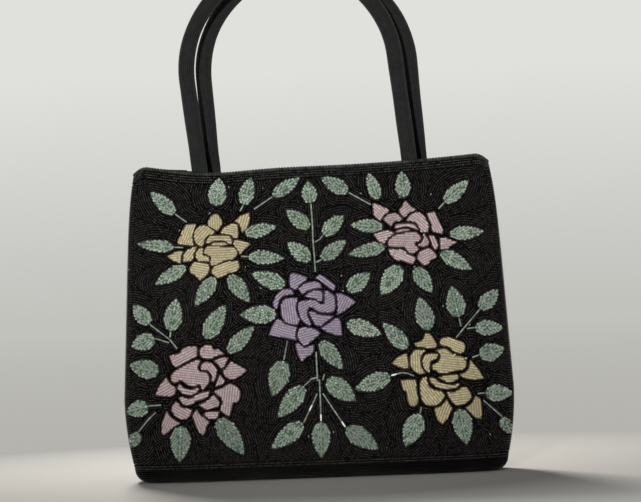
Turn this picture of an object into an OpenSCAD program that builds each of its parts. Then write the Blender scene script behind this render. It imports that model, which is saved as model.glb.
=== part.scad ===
// Beaded bag, standing on its flat base. Millimetres, Z up, the front faces -Y.

/* [Body] */
// Width across the belly, the widest place
belly_w = 259; // [200:1:320]
// Height of the belly above the ground
belly_z = 55; // [35:1:90]
// Width across the top, corner to corner
rim_w = 234; // [180:1:300]
// Width at the seam between the panels and the base
seam_w = 248; // [190:1:310]
// Height of the rim at its corners
rim_h = 208; // [160:0.5:260]
// How far the rim dips in the middle
rim_dip = 5; // [0:0.5:12]
// How far the rim gives under the left end of the handles
rim_give = 3.8; // [0:0.2:6]
// How far the rim falls at the two side seams
rim_corner = 5; // [0:0.5:10]
// Depth of the body at the base seam
base_d = 60; // [45:1:90]
// Depth of the body at the mouth
mouth_d = 34; // [30:1:60]
// Height of the base seam, and the rounding of the base edge
seam_z = 9; // [6:0.5:14]
// Squareness of the cross-section, 2 is an ellipse
section_power = 4.5; // [3:0.5:7]
// Thickness of the beaded cloth
shell_t = 2.4; // [1.6:0.1:4]

/* [Inside] */
// Space between the beaded cloth and the lining
gap_t = 3.4; // [3:0.1:6]
// Thickness of the two wall stiffeners
stiffener_t = 1.4; // [0.8:0.1:2]
// Height of the wall stiffeners as a share of the wall
stiffener_share = 0.8; // [0.5:0.02:0.84]
// Thickness of the base board
board_t = 2; // [1:0.1:4]
// Thickness of the lining cloth
lining_t = 0.8; // [0.5:0.1:1.5]
// Height of the hem turned in at the rim
hem_h = 7; // [4:0.5:12]
// Clearance between pieces that lie against each other
fit = 0.15; // [0.1:0.05:0.3]

/* [Handles] */
// Diameter of a handle tube
handle_d = 10.6; // [8:0.1:14]
// Thickness of the padded cloth round the handle cord
handle_wall = 1.5; // [1:0.1:2.5]
// Distance between the two ends of a handle
handle_span = 138; // [110:1:160]
// Straight part of a handle above the rim
handle_leg = 65.5; // [40:1:90]
// Length of a handle end sewn in below the rim
handle_tuck = 20; // [12:0.5:28]
// Thickness of a handle end where it is pressed flat
handle_flat = 2.2; // [1.6:0.1:2.4]
// Height over which a handle goes from flat to round
flare_h = 13; // [8:0.5:24]
// Sideways place of the front handle
front_shift = -4; // [-10:0.5:10]
// Lean of the front handle to the left, in degrees
front_lean = 6; // [0:0.5:8]
// Sideways place of the back handle
back_shift = 3.5; // [-10:0.5:10]
// Lean of the back handle to the left, in degrees
back_lean = 3.5; // [0:0.5:8]

/* [Closure] */
// Diameter of the magnetic snap
snap_d = 16; // [12:0.5:20]
// Thickness of each snap plate
snap_t = 2; // [1.5:0.1:3]
// Height of the stud that enters the socket
stud_h = 1.2; // [0.8:0.1:1.6]
// Distance of the snap below the middle of the rim
snap_drop = 24; // [16:1:40]

/* [Beadwork] */
// Depth of the relief that the rows of beads leave on the back
back_relief = 0.7; // [0:0.05:0.9]
// Depth of that relief on the front, between the motifs
front_relief = 0.5; // [0:0.05:0.6]
// Distance between the main ridges of the back
back_ridges = 12.4; // [8:0.2:30]
// Distance between the main ridges of the front
front_ridges = 16; // [8:0.2:30]
// Gap between the panel and the raised motifs
pad_gap = 0.25; // [0.2:0.05:0.4]
// Thickness of the raised motifs
pad_t = 1.25; // [0.8:0.05:2]
// Extra height of the middle rib of a leaf
rib_rise = 0.5; // [0:0.1:1]
// Width of a stem row
stem_w = 1.8; // [1.2:0.1:2.4]
// Diameter of the bead edging along the rim
edging_d = 2.4; // [1.6:0.1:3]

/* [Hidden] */
$fn = 48;
// Steps of the loft in each quarter of the section, and up the wall
ring_steps = 11;
wall_steps = 10;
edge_steps = 3;
lining_steps = 8;
edging_sides = 6;
// How the steps crowd towards the corners of the section, and towards the base
corner_crowd = 2.2;
wall_crowd = 1.3;
// Where the rim gives, as a share of the half width, and how far that spreads
give_share = -0.6;
give_spread = 0.3;
// Share of the taper above the belly that is even, how late the rest sets in, and the swell below
taper_share = 0.68;
taper_power = 8;
swell_power = 2;
// Share of the half width where the rim starts to fall to the side seam
corner_share = 0.93;
// Outermost share of the half width a motif may reach
motif_share = 0.998;
// The bag that the motif places are drawn on: width across the belly, height of the rim
drawn_on = [259, 208];
lining_in = shell_t + gap_t;
lining_floor = shell_t + board_t + 2 * fit;
lining_top = 1.5;
// Shares of the walk round the section and of the wall that a stiffener covers
stiffener_walk_share = 0.7;
stiffener_low_share = 0.03;
flat_rise = edging_d + 0.8;
// Room beside a sewn handle end, and between the hem and the walls, whose lofts have other steps
tab_room = 1.2;
hem_fit = 0.4;
hem_out = shell_t + hem_fit;
hem_in = lining_in - hem_fit;
// Extra lift of the motifs where the wall turns to the sides, and how late it sets in
side_lift = 0.75;
side_lift_power = 8;
handle_r = handle_span / 2;
core_d = handle_d - 2 * handle_wall;
snap_lip = 0.8;
stud_d = snap_d * 0.4;

beads_black = [0.06, 0.06, 0.065];
cloth_black = [0.1, 0.1, 0.1];
board_grey = [0.45, 0.44, 0.4];
cord_white = [0.85, 0.83, 0.78];
steel = [0.72, 0.72, 0.74];
beads_yellow = [0.8, 0.72, 0.5];
beads_pink = [0.76, 0.62, 0.63];
beads_lilac = [0.62, 0.56, 0.68];
beads_green = [0.5, 0.62, 0.53];

// Petals of the upper left rose, from its middle
top_left_petals = [
    [[-24.5, 5], [-22.7, 6.8], [-21.6, 9.9], [-19.2, 14.5], [-13, 14.5], [-14.6, 10.8],
        [-15.5, 6.4], [-14.8, 0.6], [-18.5, 1.1], [-24.5, 2]],
    [[-12.7, 11.3], [-8.6, 13.7], [-5.1, 13], [-0.6, 9.4], [-1.2, 7.9], [-5.8, 7], [-7.5, 4.2],
        [-8.2, 0.6], [-10.6, 0.1], [-13.5, 2.8], [-14.1, 7.7]],
    [[-1.2, 20.4], [1.9, 20.7], [3.9, 17.4], [4.8, 14.7], [2.6, 11.6], [1.5, 9.9], [-0.9, 11.2],
        [-4.7, 13.6], [-3.6, 17.4]],
    [[3.8, 8.6], [5.4, 11.3], [11.4, 14.1], [14.8, 13.3], [14.9, 5.1], [12.7, 4.4], [9.8, 7.5]],
    [[13.4, 15.5], [17.1, 19], [22.7, 20.7], [22.6, 15.2], [20.8, 11], [17.9, 8.3], [16.2, 14.1]],
    [[-6.2, 2], [-5.3, 5], [-3.1, 6.6], [8.7, 6.4], [10.3, 4.2], [10.7, 1], [8.7, 0.9], [7, 2.8],
        [3.5, 3.6], [-0.9, 3.5], [-4, 2.2]],
    [[-3.1, 0.7], [-1.7, 2], [6.1, 2], [7.5, 0.6], [6.3, 0], [-1.8, 0.1]],
    [[11.4, 0.6], [12.7, 3.3], [16.2, 2.8], [22.6, 0.2], [19.1, -2.4], [16, -6], [14.7, -3.3]],
    [[-8, -4.7], [-7.1, -1.9], [-4.7, -0], [6.1, -1.4], [11.4, -1.5], [13.9, -3.5], [13.9, -6.4],
        [10.9, -9.1], [5.2, -9.8], [-0.5, -12.6], [-3.1, -13], [-3.9, -11], [-3.1, -7.5],
        [-4.9, -6]],
    [[-13.2, -4.2], [-10.6, -1.3], [-8.6, -1.6], [-9.2, -5.9], [-4.7, -7.4], [-4.8, -10],
        [-11.5, -9.7], [-13, -7.4]],
    [[-21.5, -7.2], [-19.8, -2.9], [-14.1, -0.3], [-12.5, -0.2], [-14.8, -3.8], [-15.5, -9.1],
        [-21.4, -9.7]],
    [[-31.8, -6], [-25.4, -2.7], [-22.1, -3.3], [-23.3, -6.4], [-23.6, -10.4], [-28.2, -8.8]],
    [[-17.6, -14.5], [-15.2, -10.6], [-11.5, -10.7], [-5.3, -11.9], [-4.7, -15], [-6, -18.5],
        [-11.1, -22.2], [-14.1, -18.7], [-16.8, -17.3]],
    [[-3.5, -17.6], [-2, -14.5], [0.8, -13], [6.1, -11], [14.2, -10.6], [15.1, -14.8], [12.9, -17],
        [7.2, -18.1], [3.9, -20.3], [0.4, -21.1]],
];

// Petals of the upper right rose, from its middle
top_right_petals = [
    [[-24.4, 23.8], [-22.4, 23.6], [-14.4, 19.4], [-15.1, 17.6], [-17.1, 17], [-20, 12.9],
        [-24.1, 15.9]],
    [[-17.7, 13.3], [-15.6, 15.7], [-12.4, 17.1], [-9, 16.7], [-5.8, 13.2], [-7.2, 12.2],
        [-10.9, 12], [-13.2, 9], [-16.4, 11.7]],
    [[-3, 24.8], [0.2, 21.1], [3.3, 18.9], [-0.2, 17.7], [-4.4, 14.3], [-7.5, 18.1], [-5.8, 20.8]],
    [[-2.7, 12], [-0.4, 15.3], [3.2, 17.1], [5.8, 16.8], [8.5, 15.1], [10.7, 10.4], [11.5, 7.6],
        [10.7, 3.9], [6.4, 4.2], [5.6, 7.4], [3.2, 10.8], [-0.2, 11.8]],
    [[11.1, 16.1], [15.8, 17], [18.1, 10.4], [20.7, 5.5], [20.2, 2.6], [13.9, 4.3], [13.7, 9.1],
        [12, 12.5]],
    [[-10.7, 7.5], [-9.9, 9.7], [-0.6, 10], [2.3, 9], [4.6, 5.7], [1.5, 6.8], [-1.9, 8.2],
        [-5.3, 8], [-9.2, 7.1]],
    [[-10.4, 4.5], [-9.2, 5.8], [-4.5, 6.5], [-1.4, 6.3], [-1.7, 5.3], [-4.9, 5.1], [-7.5, 4.6]],
    [[-24.5, 3.5], [-19.2, 5.4], [-14.9, 5.7], [-11.5, 3.9], [-15.6, 1.2], [-18.2, -2.5],
        [-22.2, -0.3]],
    [[-15.6, -2.4], [-14.4, 0.2], [-10.4, 2.5], [-0.6, 4.2], [3.2, 3.9], [6, 0.8], [5.6, -1.3],
        [2, -2.3], [1.6, -4.1], [4.3, -6.9], [2.6, -8.7], [-0.2, -9.7], [-2.8, -8.4], [-4.4, -5.1],
        [-10.9, -5.1], [-15.1, -4.2]],
    [[8.1, 2.6], [10, 0.4], [11.2, -2.4], [10.8, -4.6], [7.3, -5.8], [4.1, -4.6], [7, -2.5],
        [8.1, -0.3]],
    [[11.7, 1.3], [14.7, 1.3], [16.9, -3.3], [16.8, -6.5], [15.6, -7.6], [13.7, -5.6], [13.1, -2]],
    [[19, -0.5], [22.4, -0.5], [29.4, -3.7], [24.6, -5.7], [24, -7.6], [18.9, -7.5]],
    [[-15.1, -6.6], [-11.3, -6.8], [-5.3, -7.5], [-3.2, -10.3], [1.4, -12.2], [1.8, -14.1],
        [-0.1, -16.7], [-4.9, -15], [-7.2, -13.7], [-10, -14.1], [-14.1, -10.1]],
    [[3.6, -11.4], [5.8, -8.7], [9.2, -7.3], [12.2, -7.2], [16.1, -11.7], [14.7, -13.6],
        [12, -14.1], [10.2, -17.1], [8.1, -17.8], [5.6, -16.1], [3.5, -13.3]],
];

// Petals of the middle rose, from its middle
centre_petals = [
    [[-13.4, 26.6], [-10.6, 26.8], [-2.8, 23.9], [-4.2, 21.9], [-8.5, 18.8], [-10.3, 16.3],
        [-13.8, 17.8], [-14.2, 21.9]],
    [[3.1, 23.3], [5.5, 25.4], [8.8, 23.6], [15.6, 17.8], [14.6, 15], [11, 17.2], [6, 22.3]],
    [[16.4, 12.4], [18.8, 12.4], [24, 10.2], [28.4, 6.7], [20.8, 1.2], [16.6, -0.9], [17.1, 6.1]],
    [[5.7, -9.5], [9.7, -7.5], [14.8, -3.9], [16.7, -3.6], [18.3, -6.3], [18.5, -14.8],
        [15.2, -14.2], [9.5, -12.2]],
    [[-25.3, 8.2], [-23.4, 12.3], [-20.6, 15.3], [-16.6, 16.8], [-13.2, 16], [-12.1, 13.7],
        [-19.1, 12.6], [-21.7, 9.9], [-22.8, 5.7], [-23.9, 4.3], [-25.2, 5.9]],
    [[-20.1, 7.4], [-17.8, 10.2], [-13.6, 10.9], [-9.7, 10.4], [-10.8, 6.1], [-10.9, 2.3],
        [-8.8, -3.7], [-10, -6.7], [-14.4, -6.3], [-18.1, -4.6], [-20.3, 0.1]],
    [[-8.5, 16.7], [-5.5, 19.1], [-1.6, 20.5], [2.6, 20.8], [5.4, 19.8], [6.6, 17], [2, 16.7],
        [-2.1, 15.6], [-6.2, 13.4], [-7.6, 15.3]],
    [[-4.2, 11.6], [-1.6, 13.8], [2.4, 15.1], [6.3, 14.6], [7.1, 12.1], [6.6, 8.5], [4.8, 7.9],
        [2.6, 9.9], [-1.6, 10.9]],
    [[-9.5, 4.4], [-8.7, 8], [-1.6, 8.9], [2.4, 8.7], [5, 6], [8.2, 5.6], [8.7, 14.6],
        [10.5, 14.3], [14.7, 11.2], [14.9, 6.1], [14.6, 1.8], [12, 0.5], [5.2, 0.9], [2.2, 2.7],
        [0.1, 4.8], [-2.1, 4.7], [-3.7, 2.3], [-3.7, -1.1], [-1.2, -6.3], [-2.1, -7.5],
        [-4.6, -6.1], [-7.8, -2.9]],
    [[-2.1, 0.8], [-0.1, 1.6], [3.9, -1.1], [13.3, -2.1], [11.2, -3.7], [8, -5.6], [5.3, -8],
        [2, -7.5], [-0.1, -3.7]],
    [[-28.7, -12.7], [-26.8, -7.8], [-23.4, -2.8], [-22, -3.1], [-16.6, -7.5], [-10.7, -8.5],
        [-12.1, -14.2], [-11.4, -16.6], [-22.1, -14]],
    [[-10.2, -12.7], [-9.1, -9.9], [-6.3, -8.6], [1.1, -10.2], [4.4, -12.9], [-1.6, -18],
        [-5.9, -20.9], [-8, -18.9], [-10, -15.2]],
    [[-11.7, -19.7], [-10.6, -18.9], [-8.7, -20.3], [-6.1, -22.4], [-2.1, -21.2], [-0, -20.8],
        [-0.3, -24.2], [-1.8, -26.5], [-5, -27.6], [-8.1, -30.6], [-10.4, -25.9]],
];

// Petals of the lower left rose, from its middle
bottom_left_petals = [
    [[-19.6, 17.6], [-12.7, 19.1], [-10.7, 22.1], [-7.3, 23.3], [-1.8, 23.1], [-1.9, 16.9],
        [-5.5, 15.6], [-15.5, 10.3], [-17.8, 12]],
    [[0.3, 21.1], [4, 24], [7.7, 23.6], [9.2, 20.4], [12.2, 21.1], [15.7, 17.9], [10.8, 17],
        [8.1, 15.4], [4.5, 15.2], [0.4, 17.2]],
    [[9.7, 13.6], [14.7, 15.4], [18.4, 15], [15.8, 9.5], [13.8, 8.6], [12, 11.3]],
    [[20.3, 12.5], [25.8, 9.5], [30.2, 6.6], [26.2, 3.2], [20.8, 0.9], [16.3, 3.2], [15.1, 6.3],
        [17.6, 8.6]],
    [[0.8, 7.9], [1.3, 11.8], [4, 12.9], [7.2, 12.2], [10.2, 9.3], [10.8, 6.3], [10.2, 3.2],
        [8.3, 0], [7.3, 0.9], [8.2, 4.1], [7, 6.3], [4.5, 7.9]],
    [[12.9, 4.1], [15.8, 0], [14.9, -1.5], [10.2, -2.9], [11.3, 0.5]],
    [[-18.9, 5], [-16.4, 7.7], [-7.3, 12.2], [-1.6, 14.5], [0.2, 13.8], [-2.1, 9.3], [-0.5, 6.6],
        [4, 6.1], [5.8, 3.2], [5.4, -0.7], [1.3, -4.8], [-0.4, -1], [-4.8, -2.5], [-7.8, -1.6],
        [-12.8, 2.2], [-17, 0], [-19, 1.6]],
    [[-22.6, 3.3], [-19.8, -1.1], [-16.5, -3.2], [-17, -6.3], [-19.3, -8.7], [-29.5, -7.5],
        [-27.3, -2.3]],
    [[-15.4, -3.3], [-14, -1.1], [-10.5, -4.3], [-6.4, -5.3], [-2.8, -4], [-1.2, -4.4], [-3.2, -7],
        [-7.3, -8.3], [-11.2, -7.3]],
    [[-14.1, -9.9], [-12.6, -9.2], [-9.1, -11], [-5, -10.2], [-1.4, -7.5], [5.4, -6.3],
        [4.6, -9.3], [1.3, -11.2], [-3.7, -12.1], [-5.9, -14.1], [-8.9, -14.7], [-11.9, -14.1]],
    [[-1.2, -14.9], [3.6, -13.1], [6.3, -10.7], [8.5, -9.1], [12, -13.4], [11.1, -16.4],
        [6.5, -17], [2.7, -18], [0.4, -15.9]],
    [[9.2, -6.3], [14.5, -4.5], [19.4, -1.6], [24.4, -4.5], [25.8, -8.2], [24.9, -11.8],
        [23.5, -14.1], [20.8, -13.8], [18.3, -22.2], [17.2, -22.7], [12.6, -19], [14.5, -13.6],
        [13.6, -10.4], [10.8, -8.8]],
    [[1.8, -21.1], [3.6, -19.7], [11.3, -19.9], [10.4, -23.1], [8.6, -24.3], [4.5, -24]],
    [[-19.5, -18.1], [-18.9, -15], [-16.4, -12.5], [-14.6, -14.1], [-13.6, -16.3], [-10, -17],
        [-6.4, -18.1], [-7.5, -21.3], [-10, -23.8], [-14.1, -23.6], [-16.8, -21.8]],
    [[-22.8, -18.8], [-20.9, -22], [-16.6, -25.5], [-14.6, -26.4], [-19.5, -29.2], [-24.8, -33.5],
        [-26.3, -33], [-26, -26.3]],
    [[-3.1, -18.1], [-1.6, -21.5], [2, -23.8], [4.6, -26.4], [2.4, -29.5], [1.8, -32.9],
        [0.2, -34.5], [-2.1, -32.2], [-4.4, -26.7], [-5.7, -21.5]],
];

// Petals of the lower right rose, from its middle
bottom_right_petals = [
    [[-6.3, 26.3], [-3.2, 25.7], [0.7, 19.1], [-0.2, 16.7], [-5.4, 17], [-13.1, 18.5],
        [-13.6, 19.9], [-7.9, 21.9]],
    [[2.8, 20.3], [4.4, 22.8], [8.4, 23.2], [17.3, 20], [19.4, 17.5], [18.4, 13.4], [15.7, 12.6],
        [12.3, 13.9], [8.9, 17.3], [3.7, 18.4]],
    [[-28.7, 7.7], [-25.1, 11.4], [-19.4, 13.6], [-18.5, 8.4], [-18.4, 4.1], [-23.5, 4.8]],
    [[-16.6, 12.1], [-13.6, 16], [-7.2, 15.3], [-9.9, 12.5], [-10.7, 8.4], [-9.9, 3.9],
        [-7.9, 0.5], [-11.1, 0], [-14.7, 2.3], [-17, 6.2]],
    [[-8.8, 8], [-7.7, 11.6], [-4.9, 13], [0.8, 12.6], [0.6, 10.1], [-3.6, 8.7], [-4.6, 5.9],
        [-4.9, 0.9], [-7.4, 2.5], [-8.5, 4.8]],
    [[0.6, 14.9], [2.8, 15.6], [6.6, 16], [11.8, 11.1], [16.8, 10.3], [19.5, 8.4], [19.4, 3.9],
        [17.3, 2], [11.2, 1.5], [6.8, 0.3], [1.6, 0.2], [-0.2, 2.3], [-2.3, 2.6], [-2.6, 5.6],
        [1, 6.7], [2.9, 9.3], [3, 13.2]],
    [[22.6, 7.3], [27.5, 1.2], [30.5, -4.4], [24.5, -4.8], [19.3, -4], [15.1, -1.5], [19.1, -0.3],
        [21.6, 2.5]],
    [[1.3, -2.8], [8.4, -1.5], [13.6, -1.5], [14.1, -3.5], [11.2, -5.2], [7.5, -6.2], [4.1, -4.3]],
    [[-4.6, -3], [-2.1, -2.9], [0.3, -5.1], [3.2, -7.3], [10, -8.4], [14.6, -7.3], [13.2, -9.5],
        [7.3, -10.3], [2.3, -9.9], [-1.5, -7.9], [-4, -5.4]],
    [[-23.4, -4], [-18.5, -3.5], [-14.1, -4], [-13.9, -8.8], [-13, -18.8], [-15.5, -20.9],
        [-18.3, -20.1], [-19.5, -17], [-19.9, -11.1], [-22.4, -9.5]],
    [[-11.2, -6.1], [-9.2, -2.7], [-7.1, -2.4], [-6.3, -7.4], [-3.6, -10.5], [2.8, -12.2],
        [4.8, -14.7], [1.4, -19.2], [-1.1, -20.7], [-6.3, -20.6], [-9.5, -18.5], [-10.8, -13.8]],
    [[6.6, -12.9], [11.8, -12.9], [16.8, -9.6], [19.3, -10.2], [21.4, -13.3], [22.2, -16.1],
        [20.4, -18.5], [17.3, -20.4], [12.3, -21.3], [9.8, -19.2], [7.5, -15.4]],
    [[-1.9, -22.9], [2.8, -21.6], [5.7, -17.6], [7.8, -21.5], [9.2, -23.5], [7.1, -26.3],
        [5.5, -29.9], [2.5, -32.9], [0, -30.8], [-1.5, -26.9]],
    [[25, -16], [27.5, -17.4], [28.6, -23.3], [27.8, -30.5], [24.3, -29.7], [18.5, -23.2],
        [22.5, -20.8]],
];

// Where the roses sit: middle across, middle up
rose_top_left_at = [-64.5, 155];
rose_top_right_at = [64.5, 155];
rose_centre_at = [-2.5, 108];
rose_bottom_left_at = [-77.5, 66];
rose_bottom_right_at = [77.5, 66];

// Leaves: foot across and up, tip across and up, width
leaves_top_left_at = [
    [-90.5, 177, -106.5, 192, 9.5], [-91.8, 155, -116.5, 158, 8], [-84.5, 142, -105.5, 131, 9],
    [-65.5, 134.5, -79.5, 116, 10], [-56.5, 135.5, -43.5, 117, 10.5], [-63.5, 181, -60.5, 200, 12],
    [-45.5, 181, -39.5, 199.5, 10], [-26, 186, -7.5, 198, 8.5], [-45, 162.2, -24, 166.3, 9],
    [-43.5, 147, -19.5, 145, 9],
];
leaves_top_right_at = [
    [24, 187, 6.5, 197.5, 10], [43.5, 181.5, 37.5, 199.5, 8.5], [60.5, 182, 59.5, 200, 10],
    [87, 178, 103.5, 192, 9.5], [46, 163.5, 24.5, 165.5, 9], [47, 150.5, 22.5, 146, 9],
    [89.5, 157, 112.5, 158, 9], [83, 145.5, 103.5, 133, 9.5], [56.5, 137.5, 43, 118.5, 13],
    [66, 136, 76.5, 119, 10.5],
];
leaves_centre_at = [
    [-25.8, 108.5, -50.5, 109, 12], [-19.8, 127, -41.5, 136, 11], [21, 122.2, 36.5, 133.5, 11],
    [19.5, 101, 42.5, 93, 11], [2, 90, 16, 71, 10.5], [-22.5, 78.3, -30.5, 55, 13.5],
    [-1, 180.5, -2.5, 195.5, 10], [-2.2, 164.3, -17.5, 177, 10], [6.2, 159.5, 20.5, 172, 10],
    [-2.4, 143, -17.4, 155.5, 10.5], [4.7, 143.5, 21.5, 155.5, 9.5], [-9.6, 61, -27.5, 41, 12],
    [5.2, 65, 24, 50, 13], [-11, 37, -32.5, 21, 11.5], [0.5, 37.5, 0, 13.5, 12],
    [16.6, 33, 37.5, 18, 12.5],
];
leaves_bottom_left_at = [
    [-109.5, 105, -120.5, 118, 10], [-96, 99.7, -91.5, 121.5, 12], [-106.5, 95.8, -122.5, 90.5, 11],
    [-104.5, 73.5, -124, 78.5, 12.5], [-112.5, 51.5, -127, 47.5, 11], [-119.5, 34.2, -125, 24, 7.5],
    [-91.2, 38, -93, 14, 13.5], [-67, 42, -50.5, 17.5, 13], [-73.5, 94, -59.5, 116, 12],
    [-59, 84.5, -41, 101.5, 10],
];
leaves_bottom_right_at = [
    [73.5, 94.2, 68, 116.5, 12], [59, 82.8, 43.5, 100.5, 10.5], [93.5, 102, 89.5, 123, 12.5],
    [107.5, 107, 120.5, 119.5, 10], [103.8, 95, 122.5, 94, 10], [105.8, 77, 123, 80.5, 11.5],
    [108.8, 52, 127, 51, 11], [119.5, 35.5, 125, 24, 7.5], [65.5, 40, 55, 19, 13.5],
    [91.5, 42.5, 95.5, 18.5, 13], [47.4, 65.5, 23.5, 57.5, 11.5],
];
// Outline of a leaf: share of the length from the foot, share of the half width
leaf_outline = [[0.1, 0.62], [0.32, 1], [0.6, 0.88], [0.86, 0.42]];

// Stems: places along each row of long beads
stem_lines = [
    [[-83.5, 171.5], [-90, 176.4]],
    [[-86.5, 154.6], [-91.1, 155]],
    [[-47.4, 177.6], [-45.8, 180.4]],
    [[-38, 178.4], [-26.8, 185.4]],
    [[-47.4, 147.4], [-44.2, 147.1]],
    [[38, 178.6], [24.9, 186.4]],
    [[83.4, 174.4], [86.4, 177.4]],
    [[0.4, 136], [0.2, 144], [-0.4, 156], [-0.4, 168], [-0.9, 179.8]],
    [[1.2, 155.2], [4, 156.6], [5.8, 158.9]],
    [[1.8, 142], [4.1, 143.1]],
    [[-19.6, 90.4], [-21, 84.5], [-22.2, 79]],
    [[-1, 82.4], [0, 74], [0.2, 64], [0.6, 52], [0.6, 38.3]],
    [[-1.4, 66.2], [-4.4, 65.4], [-9.1, 61.6]],
    [[1.8, 66.6], [3.6, 66.4], [4.8, 65.6]],
    [[-1.6, 55.2], [-4.6, 49], [-10.5, 37.7]],
    [[2.7, 55.2], [8.6, 45.6], [16, 33.8]],
    [[-92.4, 88.8], [-96.6, 94.4], [-109, 104.4]],
    [[-96.4, 96.5], [-96.1, 99]],
    [[-97.8, 92.6], [-105.8, 95.4]],
    [[-104.4, 51.8], [-111.8, 51.5]],
    [[-107.9, 46.8], [-113, 42], [-119, 35]],
    [[91.6, 89.4], [96.5, 95], [107, 106.4]],
    [[94.6, 96.6], [93.7, 101.2]],
    [[99, 94.6], [103.1, 95]],
    [[101.8, 75.8], [105.1, 76.8]],
    [[104.4, 51.8], [108.1, 52]],
    [[107.9, 46.8], [113, 42], [119, 36.2]],
    [[66.4, 44], [65.7, 40.7]],
    [[62, 65.2], [58, 66.9], [54, 67.2], [48.2, 65.9]],
];

// Half width and half depth of the body at a height
function taper(t) = taper_share * t + (1 - taper_share) * pow(t, taper_power);
function half_w(z) = z >= belly_z
    ? belly_w / 2 - (belly_w - rim_w) / 2 * taper((z - belly_z) / (rim_h - belly_z))
    : belly_w / 2 - (belly_w - seam_w) / 2 * pow((belly_z - z) / (belly_z - seam_z), swell_power);
function half_d(z) = mouth_d / 2
    + (base_d - mouth_d) / 4 * (1 + cos(180 * (z - seam_z) / (rim_h - seam_z)));

// The section is walked by p: -1 left side, 0 front middle, 1 right side, 2 back middle, 3 left side
function fold(p) = p > 1 ? 2 - p : p;
function face(p) = p > 1 ? 1 : -1;
function share(p) = sign(fold(p)) * (1 - pow(1 - abs(fold(p)), corner_crowd));
function walk_in(x, z, inset) =
    sign(x) * (1 - pow(1 - abs(x) / (half_w(z) - inset), 1 / corner_crowd));
function bow(f) = pow(max(0, 1 - pow(abs(f), section_power)), 1 / section_power);
function section_at(p, z_of, inset, z) = [(half_w(z_of) - inset) * share(p),
    face(p) * (half_d(z_of) - inset) * bow(share(p)), z];
function on_body(p, z, inset) = section_at(p, z, inset, z);

// Height of the rim at a share of the half width
function rim(f) = rim_h - rim_dip * (1 - f * f)
    - rim_give * exp(-pow((f - give_share) / give_spread, 2))
    - rim_corner * pow(max(0, abs(f) - corner_share) / (1 - corner_share), 2);

// A place of the drawing on the front, as seen from the front, lifted off the surface
function on_front(x, z, lift) = over_front(x * belly_w / drawn_on[0], z * rim_h / drawn_on[1], lift);
function over_front(x, z, lift) =
    let (a = half_w(z), b = half_d(z))
    let (f = max(-motif_share, min(motif_share, x / a)))
    let (g = bow(f))
    let (nx = sign(f) * pow(abs(f), section_power - 1) / a)
    let (ny = -pow(g, section_power - 1) / b)
    let (size = sqrt(nx * nx + ny * ny))
    let (up = lift + side_lift * pow(abs(f), side_lift_power))
    [a * f + up * nx / size, -b * g + up * ny / size, z];

function steps(from, to, count) = [for (i = [0:count]) from + (to - from) * i / count];
function crowded(from, to, count) =
    [for (i = [0:count]) from + (to - from) * pow(i / count, wall_crowd)];
function flat_list(rows) = [for (row = rows) each row];
function turned(list) = [for (i = [len(list) - 1:-1:0]) list[i]];

// Grid of places on a wall between two shares of its height, drop below the rim at its top
function wall_grid(ps, ts, inset, low, drop) = [for (t = ts)
    [for (p = ps) on_body(p, low + t * (rim(share(p)) - drop - low), inset)]];

// Two triangles of a four-sided face
function split(a, b, c, d) = [[a, b, c], [a, c, d]];

// Solid between an outer and an inner grid; a closed one runs round, a capped one has a floor
module between(outer, inner, closed = false, capped = false) {
    rows = len(outer);
    cols = len(outer[0]);
    count = rows * cols;
    last = closed ? cols - 1 : cols - 2;
    top = (rows - 1) * cols;
    walls = [for (i = [0:rows - 2]) for (j = [0:last])
        let (a = i * cols + j, b = i * cols + (j + 1) % cols)
        each concat(split(a, a + cols, b + cols, b),
            split(count + a, count + b, count + b + cols, count + a + cols))];
    upper = [for (j = [0:last]) let (a = top + j, b = top + (j + 1) % cols)
        each split(a, count + a, count + b, b)];
    lower = [for (j = [0:last]) let (a = j, b = (j + 1) % cols)
        each split(a, b, count + b, count + a)];
    floors = [[for (j = [0:cols - 1]) j], [for (j = [cols - 1:-1:0]) count + j]];
    ends = [for (i = [0:rows - 2]) let (a = i * cols, b = i * cols + cols - 1)
        each concat(split(a, count + a, count + a + cols, a + cols),
            split(b, b + cols, count + b + cols, count + b))];
    polyhedron(points = concat(flat_list(outer), flat_list(inner)),
        faces = concat(walls, upper, capped ? floors : lower, closed ? [] : ends));
}

// Piece of wall between two insets
module wall_piece(ps, ts, outside, inside, low, drop) {
    between(wall_grid(ps, ts, outside, low, drop), wall_grid(ps, ts, inside, low, drop));
}

// Triangles between two edges with steps of their own: corners and shares of the height of each edge
function stitched(a, at, b, bt, i = 0, j = 0) =
    i == len(a) - 1 && j == len(b) - 1 ? [] :
    j == len(b) - 1 || (i < len(a) - 1 && at[i + 1] <= bt[j + 1])
        ? concat([[a[i], b[j], a[i + 1]]], stitched(a, at, b, bt, i + 1, j))
        : concat([[a[i], b[j], b[j + 1]]], stitched(a, at, b, bt, i, j + 1));

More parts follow.
